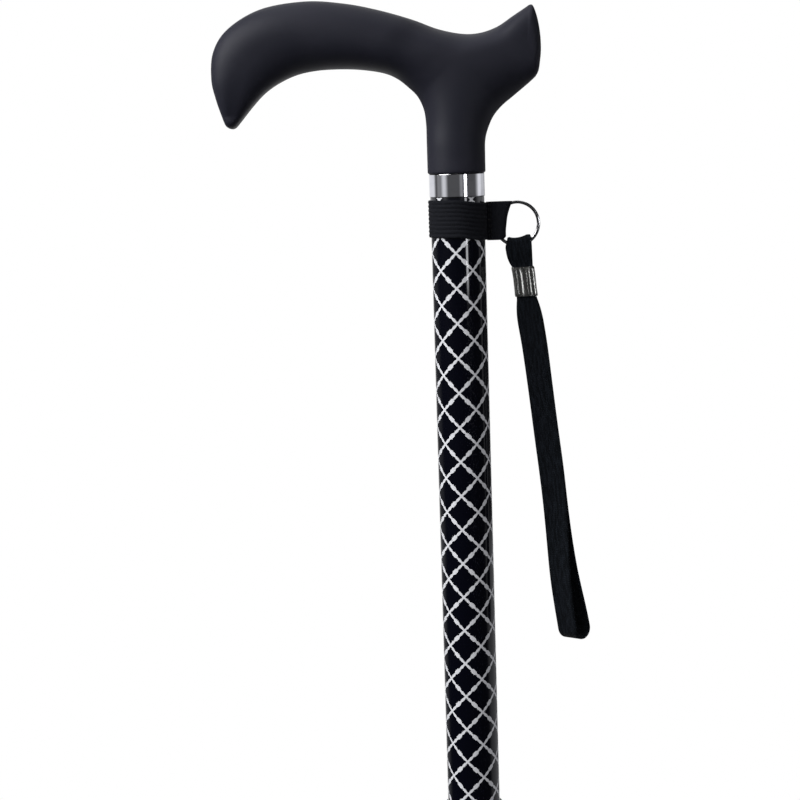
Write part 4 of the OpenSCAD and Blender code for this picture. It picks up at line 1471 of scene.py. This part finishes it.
def layFloor(form):
    material = bpy.data.materials.new("floorWhite")
    white = NodeTree(material)
    x, y = white.place()[:2]
    away = (x * x + y * y).maths("SQRT").soft(*form["floorFade"])
    seen = white.seen()
    glow = seen * (1 - form["shadowShare"] * (1 - away))
    shade = white.mix(seen, [form["bounce"]] * 3, [form["paper"]] * 3)
    paper = white.add("ShaderNodeBsdfDiffuse", None, {"Color": shade})
    bright = white.add("ShaderNodeEmission", None, {"Color": (1, 1, 1, 1), "Strength": 1.0})
    surface = white.add("ShaderNodeMixShader", None, {0: glow, 1: paper, 2: bright})
    white.add("ShaderNodeOutputMaterial", None, {"Surface": surface})
    sides, down = form["floorSides"], -form["floorDrop"]
    points, faces = loft([[(px, py, down) for px, py in circle(r, sides)] for r in form["floorRings"]])
    stageMesh("floor", points, faces + [tuple(range(sides))], material)


def hangRoom(form):
    material = bpy.data.materials.new("darkRoom")
    dark = NodeTree(material)
    x, y, z = dark.place()
    turn = x.maths("ARCTAN2", 0 - y) * (180 / math.pi)  # degrees from the front, left is negative
    glow = form["roomShade"]
    for place, half, blur, level, low, high in form["panels"]:
        lit = z.soft(low, low + form["panelFade"]) * (1 - z.soft(high - form["panelFade"], high))
        glow = glow + level * lit * (1 - abs(turn - place).soft(half - blur, half + blur))
    red, green = [tint * glow for tint in form["roomTint"]]
    shade = dark.add("ShaderNodeCombineColor", None, {0: red, 1: green, 2: glow})
    wall = dark.add("ShaderNodeEmission", None, {"Color": shade, "Strength": 1.0})
    dark.add("ShaderNodeOutputMaterial", None, {"Surface": wall})
    count, r = form["roomSides"], form["roomRadius"]
    turns = [math.radians(form["roomTurn"]) * (2 * k / count - 1) for k in range(count + 1)]
    profile = [form["cloth"], (r, form["cloth"][1]), (r, form["roomHeight"])]
    points = [(out * math.sin(t), -out * math.cos(t), up) for out, up in profile for t in turns]
    faces = [(row + k, row + k + 1, row + count + 2 + k, row + count + 1 + k)
             for row in (0, count + 1) for k in range(count)]
    room = stageMesh("dark_room", points, faces, material)
    # only polished things reflect it
    room.visible_camera = room.visible_diffuse = room.visible_shadow = False


def hangSoftbox(form):
    data = bpy.data.lights.new("keySoftbox", "AREA")
    data.shape, data.energy = "RECTANGLE", form["watts"]
    data.size, data.size_y = form["size"]
    lamp = bpy.data.objects.new("keySoftbox", data)
    bpy.context.scene.collection.objects.link(lamp)
    lamp.location = form["place"]
    way = Vector(form["aim"]) - Vector(form["place"])
    lamp.rotation_euler = way.to_track_quat("-Z", "Y").to_euler()


def lightWorld(form):
    world = bpy.data.worlds.new("studio")
    bpy.context.scene.world = world
    sky = NodeTree(world)
    way = sky.add("ShaderNodeTexCoord", None, None, "Generated")
    rise = sky.add("ShaderNodeSeparateXYZ", None, {0: way}, "Z").soft(*form["ambientRise"])
    ambient = sky.mix(rise, form["ambientBelow"], form["ambientAbove"])
    shade = sky.mix(sky.seen(), ambient, (1, 1, 1))  # plain white where it is seen
    background = sky.add("ShaderNodeBackground", None, {"Color": shade, "Strength": 1.0})
    sky.add("ShaderNodeOutputWorld", None, {"Surface": background})


layFloor(studio)
hangRoom(studio)
hangSoftbox(softbox)
lightWorld(studio)
bpy.context.scene.view_settings.view_transform = "Standard"
print("studio lit")
